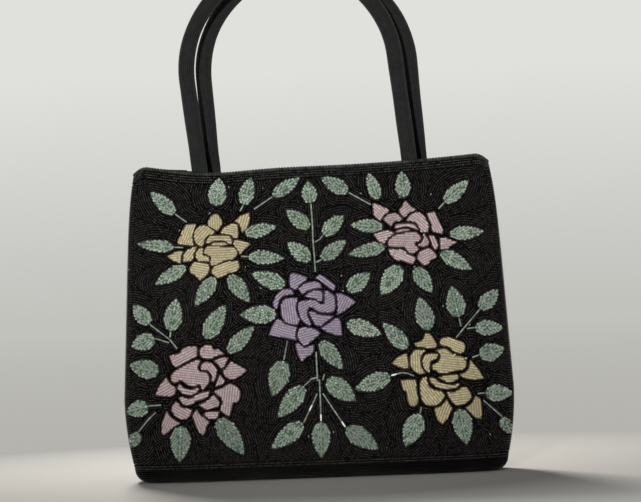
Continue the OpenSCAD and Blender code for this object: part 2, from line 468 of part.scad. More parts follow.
// Panel with a smooth inner face and ridges across its outer face, where the rows of beads swell
module ridged_panel(ps, ridges, relief) {
    rows = 2 * round((rim_h - seam_z) / ridges);
    outs = steps(0, 1, rows);
    ins = crowded(0, 1, wall_steps);
    outer = [for (k = [0:rows]) [for (p = ps)
        on_body(p, seam_z + outs[k] * (rim(share(p)) - seam_z), relief * (k % 2))]];
    inner = wall_grid(ps, ins, shell_t, seam_z, 0);
    cols = len(ps);
    count = (rows + 1) * cols;
    top = rows * cols;
    inner_top = count + wall_steps * cols;
    outside = [for (i = [0:rows - 1]) for (j = [0:cols - 2]) let (a = i * cols + j)
        each split(a, a + cols, a + cols + 1, a + 1)];
    inside = [for (i = [0:wall_steps - 1]) for (j = [0:cols - 2]) let (a = count + i * cols + j)
        each split(a, a + 1, a + cols + 1, a + cols)];
    upper = [for (j = [0:cols - 2])
        each split(top + j, inner_top + j, inner_top + j + 1, top + j + 1)];
    lower = [for (j = [0:cols - 2]) each split(j, j + 1, count + j + 1, count + j)];
    left = stitched([for (i = [0:rows]) i * cols], outs,
        [for (i = [0:wall_steps]) count + i * cols], ins);
    right = [for (t = stitched([for (i = [0:rows]) (i + 1) * cols - 1], outs,
        [for (i = [0:wall_steps]) count + (i + 1) * cols - 1], ins)) turned(t)];
    polyhedron(points = concat(flat_list(outer), flat_list(inner)),
        faces = concat(outside, inside, upper, lower, left, right));
}

module front_panel() {
    color(beads_black) ridged_panel(steps(-1, 1, 2 * ring_steps), front_ridges, front_relief);
}

module back_panel() {
    color(beads_black) ridged_panel(steps(1, 3, 2 * ring_steps), back_ridges, back_relief);
}

function full_turn() = [for (i = [0:4 * ring_steps - 1]) -1 + i / ring_steps];

// Tray of beaded cloth: flat floor and a rounded edge up to the seam
module base_panel() {
    turns = steps(0, 90, edge_steps);
    inner_r = seam_z - shell_t;
    color(beads_black)
    between([for (a = turns) [for (p = full_turn())
            section_at(p, seam_z, seam_z * (1 - sin(a)), seam_z * (1 - cos(a)))]],
        [for (a = turns) [for (p = full_turn())
            section_at(p, seam_z, seam_z - inner_r * sin(a), seam_z - inner_r * cos(a))]],
        closed = true, capped = true);
}

// Row of beads sewn along the top edge of the panels
module rim_edging() {
    r = edging_d / 2;
    ps = full_turn();
    cols = len(ps);
    mids = [for (p = ps) on_body(p, rim(share(p)), shell_t / 2) + [0, 0, r + fit]];
    rims = [for (p = ps) on_body(p, rim(share(p)), 0) - on_body(p, rim(share(p)), shell_t)];
    points = [for (j = [0:cols - 1]) for (k = [0:edging_sides - 1])
        let (a = 360 * k / edging_sides)
        let (out = [rims[j][0], rims[j][1], 0] / norm([rims[j][0], rims[j][1], 0]))
        mids[j] + r * (cos(a) * out + [0, 0, sin(a)])];
    faces = [for (j = [0:cols - 1]) for (k = [0:edging_sides - 1])
        let (n = (j + 1) % cols, m = (k + 1) % edging_sides)
        each split(j * edging_sides + k, j * edging_sides + m, n * edging_sides + m,
            n * edging_sides + k)];
    color(beads_black) polyhedron(points = points, faces = faces);
}

// Cloth turned in at the rim, in four runs between the handle ends
module hem_run(from, to) {
    color(cloth_black)
    wall_piece(steps(from, to, 2 * ring_steps), [0, 1], hem_out, hem_in, hem_low(), 0);
}

// Lower edge of the hem, and the room a leaning handle end takes up on each side of its place
function hem_low() = rim_h - rim_dip - rim_corner - hem_h;
function tab_side(lean) = tab_room + handle_d / 2 / cos(lean) + handle_r * (1 / cos(lean) - 1)
    + (handle_rim() - hem_low()) * tan(lean);
// Where a run of hem stops short of a handle end: before it, or past it
function until_tab(x) = walk_in(x, handle_rim(), hem_out);
function after_tab(x) = walk_in(x, handle_rim(), hem_in);

module rim_hem() {
    front = tab_side(front_lean);
    back = tab_side(back_lean);
    hem_run(until_tab(front_shift + front - handle_r), until_tab(front_shift - front + handle_r));
    hem_run(after_tab(front_shift + front + handle_r), 2 - after_tab(back_shift + back + handle_r));
    hem_run(2 - until_tab(back_shift - back + handle_r), 2 - until_tab(back_shift + back - handle_r));
    mirror([1, 0, 0])
    hem_run(after_tab(front - front_shift + handle_r), 2 - after_tab(back - back_shift + handle_r));
}

// Sheet that keeps a wall flat, between the beaded cloth and the lining
module wall_stiffener(middle) {
    color(board_grey)
    wall_piece(steps(middle - stiffener_walk_share, middle + stiffener_walk_share, ring_steps),
        crowded(stiffener_low_share, stiffener_share, wall_steps / 2),
        shell_t + 2 * fit, shell_t + 2 * fit + stiffener_t, seam_z, 0);
}

module front_stiffener() {
    wall_stiffener(0);
}

module back_stiffener() {
    wall_stiffener(2);
}

module base_board() {
    color(board_grey) translate([0, 0, shell_t + fit]) linear_extrude(board_t)
    polygon([for (p = full_turn()) let (q = section_at(p, seam_z, seam_z + fit, 0)) [q[0], q[1]]]);
}

// Sewn lining: a sack with its own floor
module lining() {
    ps = full_turn();
    ts = crowded(0, 1, lining_steps);
    low = seam_z + lining_in / 2;
    color(cloth_black)
    between(concat([[for (p = ps) section_at(p, seam_z, seam_z + fit, lining_floor)]],
            wall_grid(ps, ts, lining_in, low, lining_top)),
        concat([[for (p = ps) section_at(p, seam_z, seam_z + fit + lining_t, lining_floor + lining_t)]],
            wall_grid(ps, ts, lining_in + lining_t, low, lining_top)),
        closed = true, capped = true);
}

// Place and slope of the lining where the snap is sewn on
function snap_z() = rim(0) - snap_drop;
function snap_y() = half_d(snap_z()) - lining_in - lining_t - fit;
function snap_tilt() = atan((half_d(snap_z() - 1) - half_d(snap_z() + 1)) / 2);

module snap_place(side) {
    translate([0, side * snap_y(), snap_z()]) rotate([side * (90 + snap_tilt()), 0, 0]) children();
}

module snap_socket() {
    color(steel) snap_place(-1) rotate([180, 0, 0]) mirror([0, 0, 1])
    difference() {
        cylinder(h = snap_t, d = snap_d);
        translate([0, 0, snap_t - stud_h]) cylinder(h = stud_h + 1, d = stud_d + snap_lip);
    }
}

module snap_stud() {
    color(steel) snap_place(1) {
        cylinder(h = snap_t, d = snap_d);
        translate([0, 0, snap_t]) cylinder(h = stud_h, d = stud_d);
    }
}

// Height of the rim where the handles come out, and the middle of the space they are sewn into
function handle_rim() = rim(handle_span / rim_w);
function handle_y() = -on_body(walk_in(handle_r, handle_rim(), 0), handle_rim() - handle_tuck / 2,
    shell_t + gap_t / 2)[1];

module at_handle(shift, lean, side) {
    translate([shift, side * handle_y(), handle_rim()]) rotate([0, -lean, 0]) children();
}

// Arch of a tube with straight legs; the legs stop at the height foot[0] left and foot[1] right
module arch(d, foot) {
    translate([0, 0, handle_leg]) rotate([90, 0, 0]) rotate_extrude(angle = 180)
    translate([handle_r, 0]) circle(d = d);
    translate([-handle_r, 0, foot[0]]) cylinder(h = handle_leg - foot[0], d = d);
    translate([handle_r, 0, foot[1]]) cylinder(h = handle_leg - foot[1], d = d);
}

// Lower end of a leg, pressed flat to a tab
module leg_end(rim_at) {
    wide = handle_d / 2;
    thin = handle_flat / 2;
    top = rim_at + flat_rise + flare_h;
    intersection() {
        translate([0, 0, rim_at - handle_tuck]) cylinder(h = top + 0.5 - rim_at + handle_tuck, d = handle_d);
        translate([-handle_d, 0, 0]) rotate([90, 0, 90]) linear_extrude(2 * handle_d)
        polygon([[-thin, rim_at - handle_tuck - 1], [thin, rim_at - handle_tuck - 1],
            [thin, rim_at + flat_rise], [wide, top], [wide, top + 1], [-wide, top + 1], [-wide, top],
            [-thin, rim_at + flat_rise]]);
    }
}

function leg_rims(lean) = [handle_r * tan(lean), -handle_r * tan(lean)];
function round_from(lean) = [for (z = leg_rims(lean)) z + flat_rise + flare_h];

module handle_cover(lean) {
    difference() {
        union() {
            arch(handle_d, round_from(lean));
            translate([-handle_r, 0, 0]) leg_end(leg_rims(lean)[0]);
            translate([handle_r, 0, 0]) leg_end(leg_rims(lean)[1]);
        }
        arch(core_d, round_from(lean));
    }
}

module handle_cord(lean) {
    arch(core_d - 2 * fit, [for (z = round_from(lean)) z + fit]);
}

module handle_front_cover() {
    color(cloth_black) at_handle(front_shift, front_lean, -1) handle_cover(front_lean);
}

module handle_front_cord() {
    color(cord_white) at_handle(front_shift, front_lean, -1) handle_cord(front_lean);
}

module handle_back_cover() {
    color(cloth_black) at_handle(back_shift, back_lean, 1) handle_cover(back_lean);
}

module handle_back_cord() {
    color(cord_white) at_handle(back_shift, back_lean, 1) handle_cord(back_lean);
}

// Outlines run the same way round, so that every pad faces out
function twice_area(pts) = let (n = len(pts))
    [for (i = [0:n - 1]) let (a = pts[i], b = pts[(i + 1) % n]) a[0] * b[1] - b[0] * a[1]]
    * [for (i = [1:n]) 1];
function ordered(pts) = twice_area(pts) > 0 ? pts : turned(pts);

// Triangles of a flat outline, cut off one corner at a time
function turn(a, b, c) = (b[0] - a[0]) * (c[1] - a[1]) - (b[1] - a[1]) * (c[0] - a[0]);
function within(q, a, b, c) = turn(a, b, q) >= 0 && turn(b, c, q) >= 0 && turn(c, a, q) >= 0;
function corner(ids, i) = let (n = len(ids)) [ids[(i + n - 1) % n], ids[i], ids[(i + 1) % n]];
function is_free(pts, ids, t) = turn(pts[t[0]], pts[t[1]], pts[t[2]]) > 0
    && len([for (k = ids) if (k != t[0] && k != t[1] && k != t[2]
        && within(pts[k], pts[t[0]], pts[t[1]], pts[t[2]])) k]) == 0;
function triangles(pts, ids) = len(ids) == 3 ? [ids] :
    let (n = len(ids))
    let (cut = [for (i = [0:n - 1]) if (is_free(pts, ids, corner(ids, i))) i][0])
    concat([corner(ids, cut)], triangles(pts, [for (i = [0:n - 1]) if (i != cut) ids[i]]));
function edge_faces(n) = [for (i = [0:n - 1]) let (j = (i + 1) % n) each split(i, n + i, n + j, j)];

// Raised field of beads with a given outline on the front
module pad(outline) {
    pts = ordered(outline);
    n = len(pts);
    under = triangles(pts, [for (i = [0:n - 1]) i]);
    over = [for (t = under) [n + t[2], n + t[1], n + t[0]]];
    polyhedron(points = concat([for (q = pts) on_front(q[0], q[1], pad_gap)],
            [for (q = pts) on_front(q[0], q[1], pad_gap + pad_t)]),
        faces = concat(under, over, edge_faces(n)));
}

module rose(petals, at) {
    for (petal = petals) pad([for (q = petal) at + q]);
}

// Leaf with a raised middle rib, from foot to tip
module leaf(at) {
    foot = [at[0], at[1]];
    tip = [at[2], at[3]];
    along = tip - foot;
    across = [along[1], -along[0]] / norm(along) * at[4] / 2;
    right = [for (s = leaf_outline) foot + s[0] * along + s[1] * across];
    left = [for (s = turned(leaf_outline)) foot + s[0] * along - s[1] * across];
    edge = concat([foot], right, [tip], left);
    ribs = [for (s = leaf_outline) foot + s[0] * along];
    m = len(leaf_outline);
    n = len(edge);
    rib = concat([n], [for (i = [0:m - 1]) 2 * n + i], [n + m + 1]);
    other = [for (i = [0:m + 1]) (n - i) % n];
    under = [for (i = [0:m]) each concat(i < m ? [[i, i + 1, other[i + 1]]] : [],
        i > 0 ? [[i, other[i + 1], other[i]]] : [])];
    over = [for (i = [0:m]) each concat(
        i < m ? [[rib[i + 1], n + i + 1, n + i], [n + other[i], n + other[i + 1], rib[i + 1]]] : [],
        i > 0 ? [[rib[i], rib[i + 1], n + i], [n + other[i], rib[i + 1], rib[i]]] : [])];
    polyhedron(points = concat([for (q = edge) on_front(q[0], q[1], pad_gap)],
            [for (q = edge) on_front(q[0], q[1], pad_gap + pad_t)],
            [for (q = ribs) on_front(q[0], q[1], pad_gap + pad_t + rib_rise)]),
        faces = concat(under, over, edge_faces(n)));
}

module leaves(places) {
    color(beads_green) for (at = places) leaf(at);
}

// Row of long beads, as a narrow pad along a line
module stem(line) {
    n = len(line);
    side = [for (i = [0:n - 1])
        let (along = line[min(i + 1, n - 1)] - line[max(i - 1, 0)])
        [along[1], -along[0]] / norm(along) * stem_w / 2];
    pad(concat([for (i = [0:n - 1]) line[i] + side[i]],
        [for (i = [n - 1:-1:0]) line[i] - side[i]]));
}

module rose_top_left() {
    color(beads_yellow) rose(top_left_petals, rose_top_left_at);
}

module rose_top_right() {
    color(beads_pink) rose(top_right_petals, rose_top_right_at);
}

module rose_centre() {
    color(beads_lilac) rose(centre_petals, rose_centre_at);
}

module rose_bottom_left() {
    color(beads_pink) rose(bottom_left_petals, rose_bottom_left_at);
}

module rose_bottom_right() {
    color(beads_yellow) rose(bottom_right_petals, rose_bottom_right_at);
}

module leaves_top_left() {
    leaves(leaves_top_left_at);
}

module leaves_top_right() {
    leaves(leaves_top_right_at);
}

module leaves_centre() {
    leaves(leaves_centre_at);
}

module leaves_bottom_left() {
    leaves(leaves_bottom_left_at);
}

module leaves_bottom_right() {
    leaves(leaves_bottom_right_at);
}

module stems() {
    color(beads_green) for (line = stem_lines) stem(line);
}

front_panel();
back_panel();
base_panel();
rim_edging();
rim_hem();
front_stiffener();
back_stiffener();
base_board();
lining();
snap_socket();
snap_stud();
handle_front_cover();
handle_front_cord();
handle_back_cover();
handle_back_cord();
rose_top_left();
rose_top_right();
rose_centre();
rose_bottom_left();
rose_bottom_right();
leaves_top_left();
leaves_top_right();
leaves_centre();
leaves_bottom_left();
leaves_bottom_right();
stems();
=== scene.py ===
"""Beaded bag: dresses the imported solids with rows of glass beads, cloth, padded handles and a plain stage."""
import math

import bmesh
import bpy
import numpy as np
from mathutils.kdtree import KDTree
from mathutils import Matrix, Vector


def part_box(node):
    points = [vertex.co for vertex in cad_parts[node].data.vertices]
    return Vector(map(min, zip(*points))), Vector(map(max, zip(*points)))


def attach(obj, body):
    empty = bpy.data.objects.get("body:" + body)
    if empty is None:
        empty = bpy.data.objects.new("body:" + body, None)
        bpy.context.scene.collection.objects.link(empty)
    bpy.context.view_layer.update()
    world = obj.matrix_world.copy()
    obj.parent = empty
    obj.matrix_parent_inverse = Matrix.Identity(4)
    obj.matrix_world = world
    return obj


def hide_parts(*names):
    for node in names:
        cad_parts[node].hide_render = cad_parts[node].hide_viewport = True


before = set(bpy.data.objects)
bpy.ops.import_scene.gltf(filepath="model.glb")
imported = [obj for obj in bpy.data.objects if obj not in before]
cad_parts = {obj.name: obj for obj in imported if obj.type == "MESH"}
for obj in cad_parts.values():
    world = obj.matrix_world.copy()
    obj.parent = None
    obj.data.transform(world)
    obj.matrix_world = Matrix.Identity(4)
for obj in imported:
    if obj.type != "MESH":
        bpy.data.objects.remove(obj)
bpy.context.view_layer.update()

bl_info = {
    "name": "Beaded Bag",
    "version": (1, 0, 0),
    "blender": (4, 5, 0),
    "location": "View3D > Sidebar > Beaded Bag",
    "description": "Dresses the solids of a beaded bag with beads, cloth and handles",
    "category": "Object",
}

MM = 0.001
ROSES = {"rose_top_left": "yellow", "rose_top_right": "pink", "rose_centre": "lilac",
         "rose_bottom_left": "pink", "rose_bottom_right": "yellow"}
LEAVES = ("leaves_top_left", "leaves_top_right", "leaves_centre", "leaves_bottom_left", "leaves_bottom_right")
MERGE = 0.01 * MM

# Form of the body, in mm, as in the part's source
BELLY_W = 259
BELLY_Z = 55
RIM_W = 234
SEAM_W = 248
RIM_H = 208
RIM_DIP = 5
RIM_GIVE = 3.8
GIVE_SHARE = -0.6
GIVE_SPREAD = 0.3
RIM_CORNER = 5
CORNER_SHARE = 0.93
MOUTH_D = 34
SECTION_POWER = 4.5
TAPER_SHARE = 0.68
TAPER_POWER = 8
SWELL_POWER = 2
CORNER_CROWD = 2.2
SHELL_T = 2.4
LINING_IN = 5.8
PAD_LIFT = 0.25
SIDE_LIFT = 0.75
SIDE_LIFT_POWER = 8


def box_mm(node):
    """Lowest and highest corner of a CAD node, in mm"""
    low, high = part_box(node)
    return np.array(low) / MM, np.array(high) / MM


SEAM_Z = round(float(box_mm("front_panel")[0][2]), 2)
BASE_D = round(float(box_mm("base_panel")[1][1] - box_mm("base_panel")[0][1]), 1)


def tone(red, green, blue):
    """A colour as seen, 0 to 255, as Blender's linear values"""
    seen = np.array((red, green, blue)) / 255
    return tuple(float(v) for v in np.where(seen <= 0.04045, seen / 12.92, ((seen + 0.055) / 1.055) ** 2.4))


def length(name, description, default_mm):
    """A size the user may change, in Blender's unit of length"""
    return bpy.props.FloatProperty(name=name, description=description, default=default_mm * MM, min=0.0,
                                   unit="LENGTH", precision=5)


def colour(name, description, red, green, blue):
    """A colour the user may change"""
    return bpy.props.FloatVectorProperty(name=name, description=description, default=tone(red, green, blue),
                                         size=3, min=0.0, max=1.0, subtype="COLOR")


class BagSizes(bpy.types.PropertyGroup):
    """Sizes of the beads, the cloth and the handles"""
    row_pitch: length("Row Pitch", "Distance between rows of beads", 1.6)
    bead_pitch: length("Bead Pitch", "Distance between beads in a row", 1.45)
    bead_wide: length("Bead Width", "Width of a seed bead", 1.46)
    bead_long: length("Bead Length", "Length of a seed bead along its thread", 1.75)
    bugle_long: length("Bugle Length", "Length of the long beads of the stems", 4.4)
    bugle_wide: length("Bugle Width", "Width of the long beads of the stems", 1.25)
    ground_wide: length("Ground Bead Width", "Width of a black bead", 1.22)
    ground_long: length("Ground Bead Length", "Length of a black bead along its thread", 2.0)
    line_wide: length("Line Width", "Width of the dark beads round the petals", 0.9)
    rim_bead: length("Rim Bead", "Size of the beads along the rim", 2.4)
    bead_sink: length("Bead Sink", "Depth of the middle of a ground bead below the outer face", 0.72)
    motif_rise: length("Motif Rise", "Height of the middle of a motif bead above the outer face", 0.5)
    cloth_sink: length("Cloth Sink", "Depth of the cloth under the beads", 1.0)
    felt_rise: length("Felt Rise", "Height of the felt under the motifs", 0.25)
    handle_d: length("Handle Diameter", "Diameter of a handle", 10.6)
    handle_span: length("Handle Span", "Distance between the ends of a handle", 138)
    handle_leg: length("Handle Leg", "Straight part of a handle above the rim", 65.5)
    handle_tuck: length("Handle Tuck", "Length of a handle end sewn in below the rim", 20)


class BagColours(bpy.types.PropertyGroup):
    """Colours of the beads and the cloth"""
    ground: colour("Ground", "Black glass beads", 42, 38, 38)
    cloth: colour("Cloth", "Black cloth", 25, 28, 27)
    lining: colour("Lining", "Cloth inside the bag", 28, 28, 31)
    yellow: colour("Yellow", "Beads of the yellow roses", 185, 176, 143)
    pink: colour("Pink", "Beads of the pink roses", 179, 163, 164)
    lilac: colour("Lilac", "Beads of the lilac rose", 154, 144, 161)
    yellow_line: colour("Yellow Line", "Beads round the yellow petals", 60, 44, 25)
    pink_line: colour("Pink Line", "Beads round the pink petals", 56, 34, 35)
    lilac_line: colour("Lilac Line", "Beads round the lilac petals", 50, 35, 56)
    leaf: colour("Leaf", "Beads of the leaves", 136, 150, 137)
    leaf_pale: colour("Pale Leaf", "Paler beads of the leaves", 150, 163, 151)
    leaf_dark: colour("Dark Leaf", "Dark beads in the leaves", 78, 98, 82)
    stem: colour("Stem", "Long beads of the stems", 124, 134, 124)
    # Painted glints: near-white tint of the stem beads at the glint places, and, dimmed, of the ground's sparkles
    glint: colour("Glint", "Silver-lined beads", 238, 240, 237)
    paper: colour("Floor", "Paper of the floor", 208, 205, 199)


def sizes():
    """The sizes in mm"""
    group = bpy.context.scene.bag_sizes
    return {key: getattr(group, key) / MM for key in BagSizes.__annotations__}


def colours():
    """The colours as plain lists"""
    group = bpy.context.scene.bag_colours
    return {key: np.array(getattr(group, key)) for key in BagColours.__annotations__}


# Lines and directions

TINY = 1e-6
NO_LENGTH = 1e-9
LOOK_AROUND = 0.25
LOOK_ALONG = 0.4


def unit(ways):
    """Directions brought to a length of one"""
    return ways / np.linalg.norm(ways, axis=1)[:, None]


def upright(out, along):
    """Outward directions turned square to the directions along the row"""
    return unit(out - along * (out * along).sum(1)[:, None])


def lengths_along(line):
    """Length along a line at each of its places"""
    return np.concatenate([[0], np.cumsum(np.linalg.norm(np.diff(line, axis=0), axis=1))])


def places_at(line, at):
    """Places at given lengths along a line"""
    run = lengths_along(line)
    return np.column_stack([np.interp(at, run, column) for column in line.T])


# The outer face of the body

def half_w(z):
    """Half width of the body at a height"""
    over = np.clip((z - BELLY_Z) / (RIM_H - BELLY_Z), 0, None)
    under = np.clip((BELLY_Z - z) / (BELLY_Z - SEAM_Z), 0, None)
    taper = TAPER_SHARE * over + (1 - TAPER_SHARE) * over ** TAPER_POWER
    return BELLY_W / 2 - (BELLY_W - RIM_W) / 2 * taper - (BELLY_W - SEAM_W) / 2 * under ** SWELL_POWER


def half_d(z):
    """Half depth of the body at a height"""
    return MOUTH_D / 2 + (BASE_D - MOUTH_D) / 4 * (1 + np.cos(np.pi * (z - SEAM_Z) / (RIM_H - SEAM_Z)))


def bow(f):
    """How full the section is at a share of the half width"""
    return np.clip(1 - np.abs(f) ** SECTION_POWER, 0, None) ** (1 / SECTION_POWER)


def share(p):
    """Share of the half width at a place on the walk from the middle (0) to the side seam (1)"""
    return np.sign(p) * (1 - (1 - np.clip(np.abs(p), 0, 1)) ** CORNER_CROWD)


def rim(f):
    """Height of the rim at a share of the half width"""
    fall = np.clip((np.abs(f) - CORNER_SHARE) / (1 - CORNER_SHARE), 0, None)
    give = RIM_GIVE * np.exp(-((f - GIVE_SHARE) / GIVE_SPREAD) ** 2)
    return RIM_H - RIM_DIP * (1 - f * f) - give - RIM_CORNER * fall ** 2


def outward(f, z):
    """Outward direction across the front section"""
    nx = np.sign(f) * np.abs(f) ** (SECTION_POWER - 1) / half_w(z)
    ny = -np.clip(bow(f), TINY, None) ** (SECTION_POWER - 1) / half_d(z)
    long = np.hypot(nx, ny)
    return nx / long, ny / long


WALK = np.linspace(0, 1, 321)
LEVELS = np.linspace(SEAM_Z, RIM_H, 121)


def girth_table():
    """Length along the section from the front middle, by height and walk, and the walk by share of that length"""
    f = share(WALK)
    x = half_w(LEVELS)[:, None] * f
    y = half_d(LEVELS)[:, None] * bow(f)
    steps = np.hypot(np.diff(x, axis=1), np.diff(y, axis=1))
    girth = np.concatenate([np.zeros((len(LEVELS), 1)), np.cumsum(steps, axis=1)], axis=1)
    back = np.array([np.interp(WALK, row / row[-1], WALK) for row in girth])
    return girth, back


GIRTH, WALK_BACK = girth_table()


def read_table(table, z, q):
    """A table read between its rows and columns"""
    row = np.clip((z - SEAM_Z) / (RIM_H - SEAM_Z), 0, 1) * (len(LEVELS) - 1)
    col = np.clip(q, 0, 1) * (len(WALK) - 1)
    i, j = np.minimum(row.astype(int), len(LEVELS) - 2), np.minimum(col.astype(int), len(WALK) - 2)
    u, v = row - i, col - j
    return ((table[i, j] * (1 - v) + table[i, j + 1] * v) * (1 - u)
            + (table[i + 1, j] * (1 - v) + table[i + 1, j + 1] * v) * u)


def half_girth(z):
    """Length along the section from the front middle to the side seam"""
    return np.interp(z, LEVELS, GIRTH[:, -1])


def drawn(x, z):
    """A place seen from the front as a place on the flat cloth: along the section, up"""
    f = np.clip(np.abs(x) / half_w(z), 0, 1)
    return np.sign(x) * read_table(GIRTH, z, 1 - (1 - f) ** (1 / CORNER_CROWD))


def share_at(s, z):
    """Share of the half width at a place on the flat cloth"""
    return np.sign(s) * share(read_table(WALK_BACK, z, np.abs(s) / half_girth(z)))


def on_wall(flat, lift, face=-1):
    """Places on the flat cloth laid on the body, lifted off its outer face; face is -1 front, 1 back"""
    s, z = flat[:, 0], flat[:, 1]
    f = share_at(s, z)
    nx, ny = outward(f, z)
    return np.column_stack([half_w(z) * f + lift * nx, -face * (-half_d(z) * bow(f) + lift * ny), z])


def frames(flat, way, lift, face=-1):
    """Places, directions along the row and outward directions of beads on the flat cloth"""
    near = way * LOOK_AROUND
    along = unit(on_wall(flat + near, lift, face) - on_wall(flat - near, lift, face))
    nx, ny = outward(share_at(flat[:, 0], flat[:, 1]), flat[:, 1])
    return on_wall(flat, lift, face), along, upright(np.column_stack([nx, -face * ny, np.zeros(len(flat))]), along)


# Outlines on the flat cloth

FACES_IN = -0.5
SHARP_CORNER = 1.75
CORNER_CUT = 0.25
CORNER_PULL = 0.07
SHORTEST_ROW = 0.1
ROW_FILL = 0.35
OUTLINE_STEP = 0.6


def pad_outlines(node):
    """Outline of each raised pad of a CAD node on the flat cloth, from the pad's under side"""
    bm = bmesh.new()
    bm.from_mesh(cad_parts[node].data)
    bmesh.ops.remove_doubles(bm, verts=bm.verts, dist=MERGE)
    bm.normal_update()
    under = set()
    for facet in bm.faces:
        middle = facet.calc_center_median() / MM
        nx, ny = outward(np.clip(middle.x / half_w(middle.z), -1, 1), middle.z)
        if facet.normal.x * nx + facet.normal.y * ny < FACES_IN:
            under.add(facet)
    loops = []
    while under:
        island, todo = set(), [under.pop()]
        while todo:
            facet = todo.pop()
            island.add(facet)
            for edge in facet.edges:
                for beside in edge.link_faces:
                    if len(edge.link_faces) == 2 and beside in under:
                        under.discard(beside)
                        todo.append(beside)
        after = {}
        for facet in island:
            for corner in facet.loops:
                if not any(other in island for other in corner.edge.link_faces if other is not facet):
                    after[corner.vert] = corner.link_loop_next.vert
        first, vert = after.popitem()
        line = [first]
        while vert is not first:
            line.append(vert)
            vert = after.pop(vert)
        x, _, z = np.array([tuple(v.co) for v in line]).T / MM
        f = np.clip(x / half_w(z), -1, 1)
        lift = PAD_LIFT + SIDE_LIFT * np.abs(f) ** SIDE_LIFT_POWER
        loops.append(turned(np.column_stack([drawn(x - lift * outward(f, z)[0], z), z])))
    bm.free()
    loops.sort(key=lambda loop: tuple(np.round(loop.mean(0), 2)))
    return loops


def twice_area(loop):
    """Twice the area inside an outline, above 0 where it runs left round"""
    x, y = loop.T
    return float((x * np.roll(y, -1) - np.roll(x, -1) * y).sum())


def turned(loop):
    """An outline that runs left round, from a fixed corner"""
    loop = loop if twice_area(loop) > 0 else loop[::-1]
    start = int(np.lexsort((np.round(loop[:, 1], 2), np.round(loop[:, 0], 2)))[0])
    return np.roll(loop, -start, axis=0)


def softened(loop):
    """An outline with its blunt corners rounded and its sharp ones kept"""
    a, b = np.roll(loop, 1, axis=0) - loop, np.roll(loop, -1, axis=0) - loop
    spread = np.arccos(np.clip((a * b).sum(1) / np.linalg.norm(a, axis=1) / np.linalg.norm(b, axis=1), -1, 1))
    line = []
    for place, left, right, angle in zip(loop, a, b, spread):
        if angle < SHARP_CORNER:
            line.append(place)
        else:
            line.extend([place + left * CORNER_CUT, place + left * CORNER_PULL + right * CORNER_PULL,
                         place + right * CORNER_CUT])
    return np.array(line)


def even_points(loop, step):
    """Places at about even steps along an outline"""
    pts = np.vstack([loop, loop[:1]])
    run = lengths_along(pts)[-1]
    return places_at(pts, np.linspace(0, run, max(2, int(math.ceil(run / step))), endpoint=False))


def offset_line(loop, away, step):
    """Places at a distance outside an outline (inside where away is below 0), with round corners"""
    ahead = np.roll(loop, -1, axis=0) - loop
    reach = np.linalg.norm(ahead, axis=1)
    ahead = ahead / np.maximum(reach, NO_LENGTH)[:, None]
    normal = np.column_stack([ahead[:, 1], -ahead[:, 0]])
    line = []
    for i in range(len(loop)):
        count = max(1, int(reach[i] / step))
        ts = (np.arange(count) + 0.5) / count * reach[i]
        line.append(loop[i] + ahead[i] * ts[:, None] + normal[i] * away)
        j = (i + 1) % len(loop)
        turn = math.atan2(ahead[i][0] * ahead[j][1] - ahead[i][1] * ahead[j][0], float(ahead[i] @ ahead[j]))
        if turn * away > 0:
            count = int(abs(turn * away) / step) + 1
            angles = math.atan2(normal[i][1], normal[i][0]) + turn * (np.arange(count) + 0.5) / count
            line.append(loop[j] + away * np.column_stack([np.cos(angles), np.sin(angles)]))
    return np.vstack(line)


def rows_of(points, good, pitch, longest):
    """Runs of good places, each resampled to beads: places and directions"""
    beads, ways = [], []
    count = len(points)
    if not good.any():
        return np.empty((0, 2)), np.empty((0, 2))
    start = 0 if good.all() else int(np.argmin(good))
    order = (np.arange(count) + start) % count
    pts, ok = points[order], good[order]
    gap = np.linalg.norm(np.diff(pts, axis=0), axis=1) > longest
    run = []
    for i in range(count + 1):
        ends = i == count or not ok[i] or (i > 0 and gap[i - 1])
        if ends and run:
            line = pts[run]
            if good.all() and len(run) == count:
                line = np.vstack([line, line[:1]])
            place, way = spaced(line, pitch)
            beads.append(place)
            ways.append(way)
            run = []
        if i < count and ok[i]:
            run.append(i)
    return (np.vstack(beads), np.vstack(ways)) if beads else (np.empty((0, 2)), np.empty((0, 2)))


def spaced(line, pitch):
    """Beads at even steps along an open line: places and directions"""
    run = lengths_along(line)[-1]
    count = max(1, int(round(run / pitch)))
    at = (np.arange(count) + 0.5) / count * run
    before, after = np.maximum(at - LOOK_ALONG, 0), np.minimum(at + LOOK_ALONG, max(run, TINY))
    way = places_at(line, after) - places_at(line, before)
    size = np.linalg.norm(way, axis=1)[:, None]
    return places_at(line, at), np.where(size > TINY, way / np.maximum(size, TINY), [[1.0, 0.0]])


def crossings(loop, level):
    """Where a level line crosses an outline, from left to right"""
    a, b = loop, np.roll(loop, -1, axis=0)
    hit = (a[:, 1] <= level) != (b[:, 1] <= level)
    t = (level - a[hit, 1]) / (b[hit, 1] - a[hit, 1])
    return np.sort(a[hit, 0] + t * (b[hit, 0] - a[hit, 0]))


